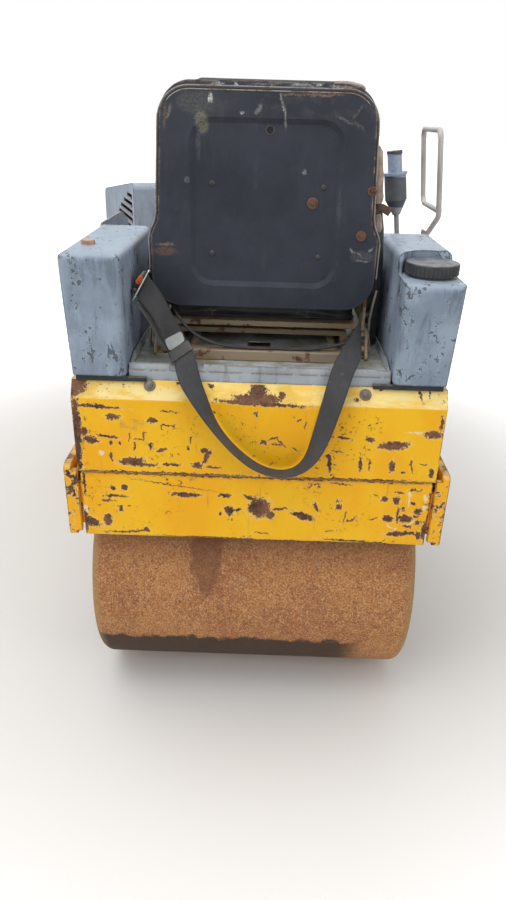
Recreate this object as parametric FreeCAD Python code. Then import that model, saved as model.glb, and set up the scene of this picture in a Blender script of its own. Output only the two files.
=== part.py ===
import FreeCAD, Part
import math
import os

# Small articulated ride-on tandem drum roller, seen from behind in its reference photograph.
# Millimetres. X is to the driver's right, Y is forward and Z is up.
# The construction is laid out from the rear drum's axle, Y = 0, with the ground at Z = 0.
# The front half is laid out straight ahead and then swung about the steering pin, as it stands.

V = FreeCAD.Vector

# Driving dimensions

DRUM_RADIUS = 290.0
DRUM_WIDTH = 800.0
DRUM_EDGE_RADIUS = 28.0
DRUM_SHELL = 16.0
DRUM_RECESS = 58.0
DRUM_RECESS_RADIUS = 250.0
HUB_RADIUS = 75.0
HUB_PROUD = 28.0
AXLE_RADIUS = 30.0
AXLE_DEPTH = 34.0
BEARING_GAP = 0.05

AXLE_TO_PIVOT = 690.0
REST_TURN = 20.0
PIVOT_Z = 490.0

DRUM_TO_ARM = 8.0
ARM_PLATE = 16.0
ARM_TOP = 710.0
ARM_BOTTOM = 175.0
ARM_EYE_RADIUS = 78.0
FRAME_END = 312.0
FLANGE_DEPTH = 12.0
FLANGE_WIDTH = 13.0

BEAM_NEAR = 325.0
BEAM_DEEP = 60.0
BEAM_BOTTOM = 390.0
BEAM_TOP = 600.0
LUG_PLATE = 20.0
LUG_SPREAD = 160.0
LUG_END_RADIUS = 60.0
PIN_RADIUS = 20.0
PIN_GAP = 0.1

BODY_TO_ARM = 16.5
BODY_REAR = 315.0
BODY_FRONT = 200.0
BODY_BOTTOM = 697.0
BODY_FOLD = 869.0
BODY_TOP = 904.0
BODY_LIP = 22.0
BODY_SHEET = 5.0

BUMPER_TO_ARM = 20.0
BUMPER_BOTTOM = 526.0
BUMPER_TOP = 692.0
BUMPER_SET_IN = 5.0
BUMPER_PLATE = 8.0
BUMPER_FLANGE = 45.0

FLOOR_SHEET = 6.0
FLOOR_END = 600.0

PAD_HEIGHT = 12.0
SEAT_TO_TANK = 40.0
TANK_WIDTH = 122.0
TANK_FLARE = 13.0
TANK_REAR = 305.0
TANK_FRONT = 75.0
TANK_TOP = 1162.0
TANK_STEP_DROP = 40.0
TANK_STEP_Y = -168.0
TANK_STEP_SLOPE = 22.0
TANK_STEP_TURN = 21.0
TANK_EDGE = 16.0
CAP_RADIUS = 54.0
CAP_HEIGHT = 28.0
CAP_IN = 55.0
CAP_Y = -216.0
PLUG_RADIUS = 14.0
PLUG_HEIGHT = 9.0
PLUG_IN = 40.0
PLUG_Y = -205.0

GUARD_GAP = 4.0
GUARD_LENGTH = 400.0
GUARD_SHEET = 5.0
GUARD_TOP = 1163.0
GUARD_DROP = 45.0
RAIL_TUBE = 6.5
RAIL_RISE = 222.0
RAIL_NEAR = 138.0
RAIL_FAR = 337.0
RAIL_BEND = 22.0
RAIL_SPLAY = 22.0

SEAT_HALF = 235.0
SEAT_BACK_Y = 167.0
SEAT_BACK_BOTTOM = 1033.0
SEAT_BACK_TOP = 1463.0
SEAT_SHELL_DEEP = 30.0
SEAT_SHELL_CORNER = 62.0
SEAT_SHELL_SHEET = 3.0
SEAT_WAIST_Z = 1178.0
SEAT_NARROWING = 16.0
SEAT_RECESS = 7.0
SEAT_RECESS_IN = 82.0
BACK_CUSHION = 75.0
SEAT_CUSHION_LOW = 990.0
SEAT_CUSHION_HIGH = 1085.0
SEAT_FRONT = 285.0
SOFT_GAP = 0.3

WHEEL_RADIUS = 178.0
WHEEL_RIM = 13.0
WHEEL_CENTRE_Y = 522.0
WHEEL_CENTRE_Z = 1165.0
WHEEL_TILT = 22.0

HOOD_TO_ARM = 8.0
HOOD_TO_END = 112.0
HOOD_LENGTH = 735.0
HOOD_REAR_TOP = 1200.0
HOOD_FRONT_TOP = 1117.0
HOOD_BOTTOM = 703.0
HOOD_SHEET = 4.0
HOOD_EDGE = 22.0
HOOD_FRONT_DROP = 30.0

# Places worked out from the driving dimensions

DRUM_HALF = DRUM_WIDTH / 2
ARM_INNER = DRUM_HALF + DRUM_TO_ARM
ARM_OUTER = ARM_INNER + ARM_PLATE
BODY_HALF = ARM_INNER - BODY_TO_ARM
BUMPER_HALF = ARM_INNER - BUMPER_TO_ARM
HOOD_HALF = ARM_INNER - HOOD_TO_ARM
HOOD_REAR = AXLE_TO_PIVOT + FRAME_END - HOOD_TO_END - HOOD_LENGTH
TANK_INNER = SEAT_HALF + SEAT_TO_TANK
TANK_OUTER = TANK_INNER + TANK_WIDTH
TANK_STEP_TOP = TANK_TOP - TANK_STEP_DROP
BEAM_FAR = BEAM_NEAR + BEAM_DEEP
HUB_BASE = DRUM_HALF - DRUM_RECESS
HUB_FACE = HUB_BASE + HUB_PROUD
DECK_TOP = BODY_TOP + PAD_HEIGHT
FLOOR_TOP = BEAM_TOP + FLOOR_SHEET
PIVOT = V(0, AXLE_TO_PIVOT, 0)
UP = V(0, 0, 1)
AHEAD = V(0, 1, 0)
RIGHT = V(1, 0, 0)

NODES = {}


def block(x, y, z):
    """A box between its limits along each axis."""
    return Part.makeBox(x[1] - x[0], y[1] - y[0], z[1] - z[0], V(x[0], y[0], z[0]))


def rod(start, way, radius, length):
    """A round bar."""
    return Part.makeCylinder(radius, length, start, way)


def rounded_face(points, place):
    """A flat face through points (a, b, corner radius), with place(a, b) giving each point in space."""
    corners = []
    for index, (a, b, radius) in enumerate(points):
        here = V(a, b, 0)
        back = V(*points[index - 1][:2], 0) - here
        ahead = V(*points[(index + 1) % len(points)][:2], 0) - here
        back.normalize()
        ahead.normalize()
        half = back.getAngle(ahead) / 2
        reach = radius / math.tan(half)
        inward = back + ahead
        inward.normalize()
        middle = here + inward * (radius / math.sin(half) - radius)
        corners.append((here + back * reach, middle, here + ahead * reach))
    edges = []
    for (start, middle, stop), following in zip(corners, corners[1:] + corners[:1]):
        if (stop - start).Length > 0.01:
            edges.append(Part.Arc(place(start), place(middle), place(stop)).toShape())
        if (following[0] - stop).Length > 0.01:
            edges.append(Part.LineSegment(place(stop), place(following[0])).toShape())
    return Part.Face(Part.Wire(edges))


def side_plate(points, x0, x1):
    """A plate of a (y, z, corner radius) outline between two X values."""
    return rounded_face(points, lambda p: V(x0, p.x, p.y)).extrude(V(x1 - x0, 0, 0))


def cross_plate(points, y0, y1):
    """A plate of an (x, z, corner radius) outline between two Y values."""
    return rounded_face(points, lambda p: V(p.x, y0, p.y)).extrude(V(0, y1 - y0, 0))


def flat_plate(points, z0, z1):
    """A plate of an (x, y, corner radius) outline between two heights."""
    return rounded_face(points, lambda p: V(p.x, p.y, z0)).extrude(V(0, 0, z1 - z0))


def bent_tube(points, bend, radius):
    """A tube along straight runs joined by arcs of one bend radius."""
    edges = []
    last = points[0]
    for before, here, after in zip(points, points[1:], points[2:]):
        back = before - here
        ahead = after - here
        back.normalize()
        ahead.normalize()
        half = back.getAngle(ahead) / 2
        reach = bend / math.tan(half)
        inward = back + ahead
        inward.normalize()
        start = here + back * reach
        stop = here + ahead * reach
        edges.append(Part.LineSegment(last, start).toShape())
        edges.append(Part.Arc(start, here + inward * (bend / math.sin(half) - bend), stop).toShape())
        last = stop
    edges.append(Part.LineSegment(last, points[-1]).toShape())
    way = points[1] - points[0]
    section = Part.Wire(Part.makeCircle(radius, points[0], way))
    return Part.Wire(edges).makePipeShell([section], True, True)


def cord_tube(points, radius):
    """A limp cord: straight runs joined by tangent arcs, as wide as the shorter run beside each allows."""
    edges = []
    last = points[0]
    tightest = 1e9
    for before, here, after in zip(points, points[1:], points[2:]):
        back = before - here
        ahead = after - here
        reach = 0.45 * min(back.Length, ahead.Length)
        back.normalize()
        ahead.normalize()
        half = back.getAngle(ahead) / 2
        bend = reach * math.tan(half)
        tightest = min(tightest, bend)
        inward = back + ahead
        inward.normalize()
        start = here + back * reach
        stop = here + ahead * reach
        edges.append(Part.LineSegment(last, start).toShape())
        edges.append(Part.Arc(start, here + inward * (bend / math.sin(half) - bend), stop).toShape())
        last = stop
    edges.append(Part.LineSegment(last, points[-1]).toShape())
    section = Part.Wire(Part.makeCircle(radius, points[0], points[1] - points[0]))
    print("cord, tightest bend", round(tightest, 1), "length", round(sum(edge.Length for edge in edges)))
    return Part.Wire(edges).makePipeShell([section], True, True)


def set_at(shape, place, along, across):
    """A shape laid out about the origin, moved to a place with its X along one way and its Y across."""
    turn = FreeCAD.Rotation(along, across, along.cross(across), "XYZ")
    shape.Placement = FreeCAD.Placement(place, turn)
    return shape


def ribbon(stations, width, thick):
    """A flat strap through stations (middle, width direction, face direction)."""
    wires = []
    for middle, side, face in stations:
        corners = [
            middle - side * (width / 2) - face * (thick / 2),
            middle + side * (width / 2) - face * (thick / 2),
            middle + side * (width / 2) + face * (thick / 2),
            middle - side * (width / 2) + face * (thick / 2),
        ]
        wires.append(Part.makePolygon(corners + corners[:1]))
    return Part.makeLoft(wires, True, False)


def fused(shapes):
    """One solid from several that touch or overlap."""
    return shapes[0].fuse(shapes[1:]).removeSplitter()


def left_of(shape):
    """The same shape on the left side."""
    return shape.mirror(V(0, 0, 0), RIGHT)


def swung(shape):
    """A front-half piece laid out straight ahead, turned to where it stands."""
    return shape.rotated(PIVOT, UP, REST_TURN)


def to_front(shape):
    """A rear-half piece, mirrored about the steering pin and swung with the front half."""
    return swung(shape.mirror(PIVOT, AHEAD))


def both_ends(name, shape):
    """The same piece on the rear and front frames."""
    NODES["rear_" + name] = shape
    NODES["front_" + name] = to_front(shape)


# Drums, with recessed end discs and hubs

def make_drum():
    """A closed steel drum with rounded edges, revolved about its axle."""
    hub_bottom = HUB_FACE - AXLE_DEPTH
    bore = AXLE_RADIUS + BEARING_GAP
    half = [
        (hub_bottom, 0, 0),
        (hub_bottom, bore, 0),
        (HUB_FACE, bore, 0),
        (HUB_FACE, HUB_RADIUS, 4),
        (HUB_BASE, HUB_RADIUS, 6),
        (HUB_BASE, DRUM_RECESS_RADIUS, 12),
        (DRUM_HALF, DRUM_RECESS_RADIUS, 0),
        (DRUM_HALF, DRUM_RADIUS, DRUM_EDGE_RADIUS),
    ]
    other = [(-x, r, rounding) for x, r, rounding in reversed(half)]
    face = rounded_face(half + other, lambda p: V(p.x, 0, p.y))
    drum = face.revolve(V(0, 0, 0), RIGHT, 360)
    inner_half = hub_bottom - DRUM_SHELL
    hollow = rod(V(-inner_half, 0, 0), RIGHT, DRUM_RADIUS - DRUM_SHELL, 2 * inner_half)
    drum = drum.cut(hollow)
    drum.translate(V(0, 0, DRUM_RADIUS))
    return drum


both_ends("drum", make_drum())


# Side arms that hang over the drum ends

LEDGE_IN = 20.0
ARM_HEEL = 80.0
ARM_OUTLINE = [
    (-FRAME_END, BUMPER_BOTTOM, 14),
    (-FRAME_END, ARM_TOP, 14),
    (300, ARM_TOP, 60),
    (BEAM_FAR, 640, 40),
    (BEAM_FAR, 380, 20),
    (180, 380, 60),
    (120, ARM_BOTTOM, 95),
    (-120, ARM_BOTTOM, 95),
    (-120, BUMPER_BOTTOM - ARM_HEEL, 60),
    (-190, BUMPER_BOTTOM, 40),
]


def make_arm():
    """The right-hand arm: plate with axle eye, rear flange, body ledge and bumper tab."""
    flange_in = ARM_INNER - FLANGE_WIDTH
    ledge_in = BODY_HALF - LEDGE_IN
    tab_face = BODY_REAR - BUMPER_SET_IN - BUMPER_PLATE
    arm = fused([
        side_plate(ARM_OUTLINE, ARM_INNER, ARM_OUTER),
        block((flange_in, ARM_INNER), (-FRAME_END, -FRAME_END + FLANGE_DEPTH), (BUMPER_BOTTOM + 14, BODY_BOTTOM)),
        block((ledge_in, ARM_INNER), (-255, BODY_FRONT), (BODY_BOTTOM - FLANGE_DEPTH, BODY_BOTTOM)),
        block((BUMPER_HALF - 45, ARM_INNER), (-tab_face, -tab_face + 10), (BUMPER_BOTTOM + 30, BUMPER_TOP - 30)),
    ])
    return arm.cut(rod(V(ARM_INNER - 1, 0, DRUM_RADIUS), RIGHT, ARM_EYE_RADIUS, ARM_PLATE + 2))


both_ends("arm_right", make_arm())
both_ends("arm_left", left_of(make_arm()))


# Axle carriers in the drum recesses, on rubber buffers

BUFFER_LENGTH = 18.0
BUFFER_RADIUS = 24.0
BUFFER_RING = 112.0
CARRIER_PLATE = 12.0
CARRIER_RADIUS = 145.0
MOTOR_RADIUS = 60.0


def make_carrier():
    """The right-hand axle plate with its stub axle and bearing cover."""
    plate_out = ARM_INNER - BUFFER_LENGTH
    plate_in = plate_out - CARRIER_PLATE
    stub_end = HUB_FACE - AXLE_DEPTH + 4
    centre = V(0, 0, DRUM_RADIUS)
    return fused([
        rod(centre + RIGHT * plate_in, RIGHT, CARRIER_RADIUS, CARRIER_PLATE),
        rod(centre + RIGHT * stub_end, RIGHT, AXLE_RADIUS, plate_in - stub_end + 1),
        rod(centre + RIGHT * (plate_out - 1), RIGHT, MOTOR_RADIUS, ARM_OUTER - 6 - plate_out),
    ])


def make_buffers():
    """The right-hand ring of rubber buffers between axle plate and arm."""
    buffers = []
    for turn in (45, 135, 225, 315):
        angle = math.radians(turn)
        middle = V(ARM_INNER - BUFFER_LENGTH, BUFFER_RING * math.cos(angle), DRUM_RADIUS + BUFFER_RING * math.sin(angle))
        buffers.append(rod(middle, RIGHT, BUFFER_RADIUS, BUFFER_LENGTH))
    return Part.makeCompound(buffers)


both_ends("axle_carriers", Part.makeCompound([make_carrier(), left_of(make_carrier())]))
both_ends("axle_buffers", Part.makeCompound([make_buffers(), left_of(make_buffers())]))


# Bumpers: folded channels between the arms

def make_bumper():
    """A folded channel, open towards the drum."""
    face = BODY_REAR - BUMPER_SET_IN
    profile = [
        (-face, BUMPER_BOTTOM, 10),
        (-face, BUMPER_TOP, 10),
        (-face + BUMPER_FLANGE, BUMPER_TOP, 0),
        (-face + BUMPER_FLANGE, BUMPER_TOP - BUMPER_PLATE, 0),
        (-face + BUMPER_PLATE, BUMPER_TOP - BUMPER_PLATE, 2),
        (-face + BUMPER_PLATE, BUMPER_BOTTOM + BUMPER_PLATE, 2),
        (-face + BUMPER_FLANGE, BUMPER_BOTTOM + BUMPER_PLATE, 0),
        (-face + BUMPER_FLANGE, BUMPER_BOTTOM, 0),
    ]
    return side_plate(profile, -BUMPER_HALF, BUMPER_HALF)


both_ends("bumper", make_bumper())


# Scraper and sprinkler bars behind the bumpers

SCRAPER_LEAN = 52.0
SCRAPER_GAP = 6.0
SCRAPER_SHEET = 8.0
SCRAPER_DEEP = 90.0
SPRINKLER_RADIUS = 11.0
SPRINKLER_Y = -150.0
SPRINKLER_Z = 625.0


def make_scraper():
    """A blade that stands off the drum, with its end ears on the arms."""
    angle = math.radians(SCRAPER_LEAN)
    away = V(0, -math.cos(angle), math.sin(angle))
    tip = V(0, 0, DRUM_RADIUS) + away * (DRUM_RADIUS + SCRAPER_GAP)
    blade = block((-ARM_INNER, ARM_INNER), (0, SCRAPER_SHEET), (0, SCRAPER_DEEP))
    blade.rotate(V(0, 0, 0), RIGHT, 90 - SCRAPER_LEAN)
    blade.translate(tip)
    return blade


def make_sprinkler():
    """A water tube across the drum with a row of nozzles."""
    pieces = [rod(V(-ARM_INNER, SPRINKLER_Y, SPRINKLER_Z), RIGHT, SPRINKLER_RADIUS, 2 * ARM_INNER)]
    for x in range(-300, 301, 150):
        pieces.append(rod(V(x, SPRINKLER_Y, SPRINKLER_Z), V(0, 0, -1), 5, 24))
    return fused(pieces)


both_ends("scraper", make_scraper())
both_ends("sprinkler", make_sprinkler())


# Rear cross beam with the steering lugs

def make_rear_beam():
    """The beam between the arms, its two lugs with the pin holes, and the cylinder's bracket."""
    outline = [
        (-LUG_SPREAD, BEAM_FAR, 0),
        (-LUG_END_RADIUS + 6, AXLE_TO_PIVOT + LUG_END_RADIUS, 54),
        (LUG_END_RADIUS - 6, AXLE_TO_PIVOT + LUG_END_RADIUS, 54),
        (LUG_SPREAD, BEAM_FAR, 0),
    ]
    lower = BEAM_BOTTOM + 10
    upper = BEAM_TOP - 20
    pieces = [
        block((-ARM_INNER, ARM_INNER), (BEAM_NEAR, BEAM_FAR), (BEAM_BOTTOM, BEAM_TOP)),
        flat_plate(outline, lower, lower + LUG_PLATE),
        flat_plate(outline, upper - LUG_PLATE, upper),
    ]
    for z0 in (BARREL_Z - BARREL_EYE - 0.3 - BRACKET_PLATE, BARREL_Z + BARREL_EYE + 0.3):
        pieces.append(flat_plate(BRACKET_OUTLINE, z0, z0 + BRACKET_PLATE))
    pieces.append(rod(V(BARREL_X, BARREL_Y, BARREL_Z - 25), UP, CYLINDER_PIN, 50))
    beam = fused(pieces)
    return beam.cut(rod(V(0, AXLE_TO_PIVOT, lower - 1), UP, PIN_RADIUS + PIN_GAP, upper - lower + 2))


# Steering cylinder, between a bracket on the rear beam and the yoke's lever

BARREL_X = -125.0
BARREL_Y = 420.0
BARREL_Z = 480.0
BARREL_EYE = 12.0
BARREL_EYE_RADIUS = 22.0
BARREL_START = 34.0
BARREL_RADIUS = 25.0
BARREL_LENGTH = 146.0
BRACKET_PLATE = 10.0
CYLINDER_PIN = 10.0
ROD_RADIUS = 12.0
ROD_EYE_RADIUS = 24.0
ROD_EYE_HALF = 9.0
EYE_SLACK = 7.0
LEVER_LENGTH = 75.0
LEVER_PIN = 8.0
LEVER_PLATE = 16.0
BRACKET_OUTLINE = [
    (BARREL_X - 34, BEAM_FAR, 0),
    (BARREL_X - 20, BARREL_Y + 22, 19),
    (BARREL_X + 20, BARREL_Y + 22, 19),
    (BARREL_X + 34, BEAM_FAR, 0),
]
LEVER_TURN = math.radians(180 + REST_TURN)
LEVER_END = V(LEVER_LENGTH * math.cos(LEVER_TURN), AXLE_TO_PIVOT + LEVER_LENGTH * math.sin(LEVER_TURN), BARREL_Z)
BARREL_PIVOT = V(BARREL_X, BARREL_Y, BARREL_Z)
CYLINDER_WAY = LEVER_END - BARREL_PIVOT
CYLINDER_LENGTH = CYLINDER_WAY.Length
CYLINDER_WAY.normalize()


def make_barrel():
    """The cylinder's barrel with its eye and a bore for the rod."""
    eye = rod(BARREL_PIVOT - UP * BARREL_EYE, UP, BARREL_EYE_RADIUS, 2 * BARREL_EYE)
    neck = rod(BARREL_PIVOT + CYLINDER_WAY * 15, CYLINDER_WAY, BARREL_EYE - 1, BARREL_START - 10)
    tube = rod(BARREL_PIVOT + CYLINDER_WAY * BARREL_START, CYLINDER_WAY, BARREL_RADIUS, BARREL_LENGTH)
    gland = rod(BARREL_PIVOT + CYLINDER_WAY * (BARREL_START + BARREL_LENGTH), CYLINDER_WAY, BARREL_RADIUS - 5, 8)
    barrel = fused([eye, neck, tube, gland])
    barrel = barrel.cut(rod(BARREL_PIVOT - UP * 20, UP, CYLINDER_PIN + BEARING_GAP, 40))
    bore_start = BARREL_PIVOT + CYLINDER_WAY * (BARREL_START + 8)
    return barrel.cut(rod(bore_start, CYLINDER_WAY, ROD_RADIUS + BEARING_GAP, BARREL_LENGTH + 10))


def make_rod():
    """The cylinder's rod with an eye that is left wider than the lever's pin."""
    start = BARREL_START + 22
    bar = rod(BARREL_PIVOT + CYLINDER_WAY * start, CYLINDER_WAY, ROD_RADIUS, CYLINDER_LENGTH - start - 18)
    eye = rod(LEVER_END - UP * ROD_EYE_HALF, UP, ROD_EYE_RADIUS, 2 * ROD_EYE_HALF)
    return fused([bar, eye]).cut(rod(LEVER_END - UP * 20, UP, LEVER_PIN + EYE_SLACK, 40))


NODES["rear_cross_beam"] = make_rear_beam()
NODES["steering_cylinder_barrel"] = make_barrel()
NODES["steering_cylinder_rod"] = make_rod()


# Steering pin and yoke

YOKE_RADIUS = 37.0
YOKE_GAP = 5.0
SPIGOT_RADIUS = 32.0
SPIGOT_LENGTH = 245.0
HOUSING_NEAR = 82.0
HOUSING_RADIUS = 54.0


def make_pin():
    """The vertical pin with its head above the lugs and its nut below."""
    low = BEAM_BOTTOM + 10
    high = BEAM_TOP - 20
    return fused([
        rod(V(0, AXLE_TO_PIVOT, low - 14), UP, PIN_RADIUS, high - low + 22),
        rod(V(0, AXLE_TO_PIVOT, high), UP, 30, 12),
        rod(V(0, AXLE_TO_PIVOT, low - 12), UP, 30, 12),
    ])


def make_yoke():
    """The block on the steering pin, with the roll spigot ahead and the lever to the left."""
    low = BEAM_BOTTOM + 10 + LUG_PLATE + YOKE_GAP
    high = BEAM_TOP - 20 - LUG_PLATE - YOKE_GAP
    lever_low = BARREL_Z + ROD_EYE_HALF + 5
    lever = flat_plate([
        (0, AXLE_TO_PIVOT - 30, 0),
        (-LEVER_LENGTH - 20, AXLE_TO_PIVOT - 20, 19),
        (-LEVER_LENGTH - 20, AXLE_TO_PIVOT + 20, 19),
        (0, AXLE_TO_PIVOT + 30, 0),
    ], lever_low, lever_low + LEVER_PLATE)
    yoke = fused([
        rod(V(0, AXLE_TO_PIVOT, low), UP, YOKE_RADIUS, high - low),
        rod(V(0, AXLE_TO_PIVOT, PIVOT_Z), AHEAD, YOKE_RADIUS - 1, 72),
        rod(V(0, AXLE_TO_PIVOT, PIVOT_Z), AHEAD, SPIGOT_RADIUS, SPIGOT_LENGTH),
        lever,
        rod(V(-LEVER_LENGTH, AXLE_TO_PIVOT, BARREL_Z - 16), UP, LEVER_PIN, lever_low + 4 - BARREL_Z + 16),
    ])
    yoke = yoke.cut(rod(V(0, AXLE_TO_PIVOT, low - 1), UP, PIN_RADIUS + PIN_GAP, high - low + 2))
    return swung(yoke)


def make_front_beam():
    """The front frame's cross beam with the housing for the yoke's spigot."""
    near = AXLE_TO_PIVOT * 2 - BEAM_FAR
    far = near + BEAM_DEEP
    housing_start = V(0, AXLE_TO_PIVOT + HOUSING_NEAR, PIVOT_Z)
    beam = fused([
        block((-ARM_INNER, ARM_INNER), (near, far), (BEAM_BOTTOM, BEAM_TOP)),
        rod(housing_start, AHEAD, HOUSING_RADIUS, near - AXLE_TO_PIVOT - HOUSING_NEAR + 5),
        side_plate([
            (near, BEAM_BOTTOM + 10, 0),
            (AXLE_TO_PIVOT + HOUSING_NEAR + 40, PIVOT_Z - 40, 0),
            (AXLE_TO_PIVOT + HOUSING_NEAR + 40, PIVOT_Z + 40, 0),
            (near, BEAM_TOP - 10, 0),
        ], -8, 8),
    ])
    return swung(beam.cut(rod(V(0, AXLE_TO_PIVOT, PIVOT_Z), AHEAD, SPIGOT_RADIUS + BEARING_GAP, SPIGOT_LENGTH + 5)))


NODES["steering_pin"] = make_pin()
NODES["steering_yoke"] = make_yoke()
NODES["front_cross_beam"] = make_front_beam()


# Rear body: a folded cover open below, with its front wall down to the floor

def make_body():
    """The yellow cover between the arms."""
    outer = side_plate([
        (-BODY_REAR, BODY_BOTTOM, 0),
        (-BODY_REAR, BODY_FOLD, 6),
        (-BODY_REAR + BODY_LIP, BODY_TOP, 4),
        (BODY_FRONT, BODY_TOP, 8),
        (BODY_FRONT, BODY_BOTTOM, 0),
    ], -BODY_HALF, BODY_HALF)
    inner = side_plate([
        (-BODY_REAR + BODY_SHEET, BODY_BOTTOM - 1, 0),
        (-BODY_REAR + BODY_SHEET, BODY_FOLD, 4),
        (-BODY_REAR + BODY_LIP + BODY_SHEET * 0.6, BODY_TOP - BODY_SHEET, 2),
        (BODY_FRONT - BODY_SHEET, BODY_TOP - BODY_SHEET, 4),
        (BODY_FRONT - BODY_SHEET, BODY_BOTTOM - 1, 0),
    ], -BODY_HALF + BODY_SHEET, BODY_HALF - BODY_SHEET)
    wall_half = BODY_HALF - 30
    wall = block((-wall_half, wall_half), (BODY_FRONT - BODY_SHEET, BODY_FRONT), (BEAM_TOP, BODY_TOP - 20))
    return fused([outer.cut(inner), wall])


NODES["rear_body"] = make_body()
NODES["floor_plate"] = block((-DRUM_HALF, DRUM_HALF), (BODY_FRONT, FLOOR_END), (BEAM_TOP, FLOOR_TOP))


# Side guards and the right-hand rail

GUARD_NEAR = TANK_FRONT + GUARD_GAP
GUARD_FAR = GUARD_NEAR + GUARD_LENGTH


def make_guard(top):
    """The right-hand guard plate beside the driver."""
    outline = [
        (GUARD_NEAR, BODY_BOTTOM, 0),
        (GUARD_NEAR, top, 8),
        (GUARD_FAR - 153, top - 3, 30),
        (GUARD_FAR - 75, top - 35, 40),
        (GUARD_FAR, 760, 60),
        (GUARD_FAR, FLOOR_TOP, 0),
        (BEAM_FAR - 50, FLOOR_TOP, 0),
        (BEAM_FAR - 50, BODY_BOTTOM, 0),
    ]
    return side_plate(outline, BODY_HALF, BODY_HALF + GUARD_SHEET)


NODES["guard_right"] = make_guard(GUARD_TOP - GUARD_DROP)
NODES["guard_left"] = left_of(make_guard(GUARD_TOP))

RAIL_X = BODY_HALF + GUARD_SHEET + RAIL_TUBE
RAIL_LOW = GUARD_TOP + 42
RAIL_TOP = GUARD_TOP + RAIL_RISE
FOOT_SHEET = 5.0


def make_rail():
    """The closed hoop over the right-hand guard, splayed at its foot, with the foot's plate."""
    out = RAIL_X + RAIL_SPLAY
    tube = bent_tube([
        V(RAIL_X, RAIL_NEAR + 22, GUARD_TOP - 22),
        V(out, RAIL_NEAR, RAIL_LOW - 12),
        V(RAIL_X, RAIL_NEAR, RAIL_TOP),
        V(RAIL_X, RAIL_FAR, RAIL_TOP),
        V(out, RAIL_FAR, RAIL_LOW),
        V(out, RAIL_NEAR + 2, RAIL_LOW),
    ], RAIL_BEND, RAIL_TUBE)
    face = BODY_HALF + GUARD_SHEET
    low = GUARD_TOP - GUARD_DROP - 62
    foot = block((face, face + FOOT_SHEET), (RAIL_NEAR, RAIL_NEAR + 44), (low, GUARD_TOP - 6))
    stub = rod(V(face + 1, RAIL_NEAR + 22, GUARD_TOP - 26), RIGHT, RAIL_TUBE, RAIL_TUBE + 2)
    return fused([tube, foot, stub])


NODES["hand_rail"] = make_rail()


# Water and fuel tanks on rubber pads

CAP_X = TANK_INNER + TANK_WIDTH - CAP_IN


def make_step_cut():
    """The space over the lower rear part of the right-hand tank, with a sloped end and room round the cap."""
    slope = side_plate([
        (-TANK_REAR - 90, TANK_STEP_TOP, 0),
        (TANK_STEP_Y - TANK_STEP_SLOPE, TANK_STEP_TOP, 10),
        (TANK_STEP_Y, TANK_TOP + 5, 0),
        (-TANK_REAR - 90, TANK_TOP + 5, 0),
    ], TANK_INNER - 60, TANK_OUTER + 60)
    slope.rotate(V((TANK_INNER + TANK_OUTER) / 2, TANK_STEP_Y, 0), UP, TANK_STEP_TURN)
    return slope.fuse(rod(V(CAP_X, CAP_Y, TANK_STEP_TOP), UP, CAP_RADIUS + 5, TANK_STEP_DROP + 5))


def make_tank(stepped):
    """The right-hand tank: flared outer wall, rounded edges, and a lower rear part if stepped."""
    foot = DECK_TOP
    section = [
        (TANK_INNER, foot, 4),
        (TANK_OUTER - TANK_FLARE, foot, 4),
        (TANK_OUTER, TANK_TOP, TANK_EDGE),
        (TANK_INNER, TANK_TOP, TANK_EDGE),
    ]
    tank = cross_plate(section, -TANK_REAR, TANK_FRONT)
    plan = [
        (TANK_INNER, -TANK_REAR, TANK_EDGE),
        (TANK_OUTER, -TANK_REAR, TANK_EDGE),
        (TANK_OUTER, TANK_FRONT, TANK_EDGE),
        (TANK_INNER, TANK_FRONT, TANK_EDGE),
    ]
    tank = tank.common(flat_plate(plan, foot - 1, TANK_TOP + 1))
    rear_top = TANK_STEP_TOP if stepped else TANK_TOP
    side = [
        (-TANK_REAR, foot, 0),
        (-TANK_REAR, rear_top, TANK_EDGE),
        (TANK_FRONT, TANK_TOP, TANK_EDGE),
        (TANK_FRONT, foot, 0),
    ]
    if stepped:
        tank = tank.cut(make_step_cut())
        behind = -TANK_REAR + 3 * TANK_EDGE
        side[2:2] = [(behind, rear_top, 0), (behind, TANK_TOP, 0)]
    return tank.common(side_plate(side, TANK_INNER - 1, TANK_OUTER + 1))


def make_pads():
    """Rubber strips between the tanks and the body."""
    pads = []
    for side in (-1, 1):
        for y in (-TANK_REAR + 4, -140, TANK_FRONT - 40):
            x = sorted((side * (TANK_INNER - PAD_PROUD), side * (TANK_OUTER - TANK_FLARE - 4)))
            pads.append(block(x, (y, y + 36), (BODY_TOP, DECK_TOP)))
    return Part.makeCompound(pads)


PAD_PROUD = -1.0
NODES["tank_left"] = left_of(make_tank(False))
NODES["tank_right"] = make_tank(True)
NODES["tank_pads"] = make_pads()


def make_cap():
    """The large screw cap: ribbed skirt, flat crown and a sealing collar."""
    foot = V(CAP_X, CAP_Y, TANK_STEP_TOP)
    skirt = rod(foot + UP * 6, UP, CAP_RADIUS, CAP_HEIGHT - 6)
    skirt = skirt.makeFillet(3, [edge for edge in skirt.Edges if edge.BoundBox.ZMin > foot.z + CAP_HEIGHT - 1])
    grooves = []
    for step in range(CAP_RIBS):
        angle = 2 * math.pi * step / CAP_RIBS
        way = V(math.cos(angle), math.sin(angle), 0)
        grooves.append(rod(foot + way * (CAP_RADIUS + 0.6), UP, 2, CAP_HEIGHT - 5))
    skirt = skirt.cut(Part.makeCompound(grooves))
    return fused([skirt, rod(foot, UP, CAP_RADIUS - 8, 8)])


CAP_RIBS = 40
NODES["tank_cap"] = make_cap()
NODES["tank_plug"] = rod(V(-TANK_OUTER + PLUG_IN, PLUG_Y, TANK_TOP), UP, PLUG_RADIUS, PLUG_HEIGHT)


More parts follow.
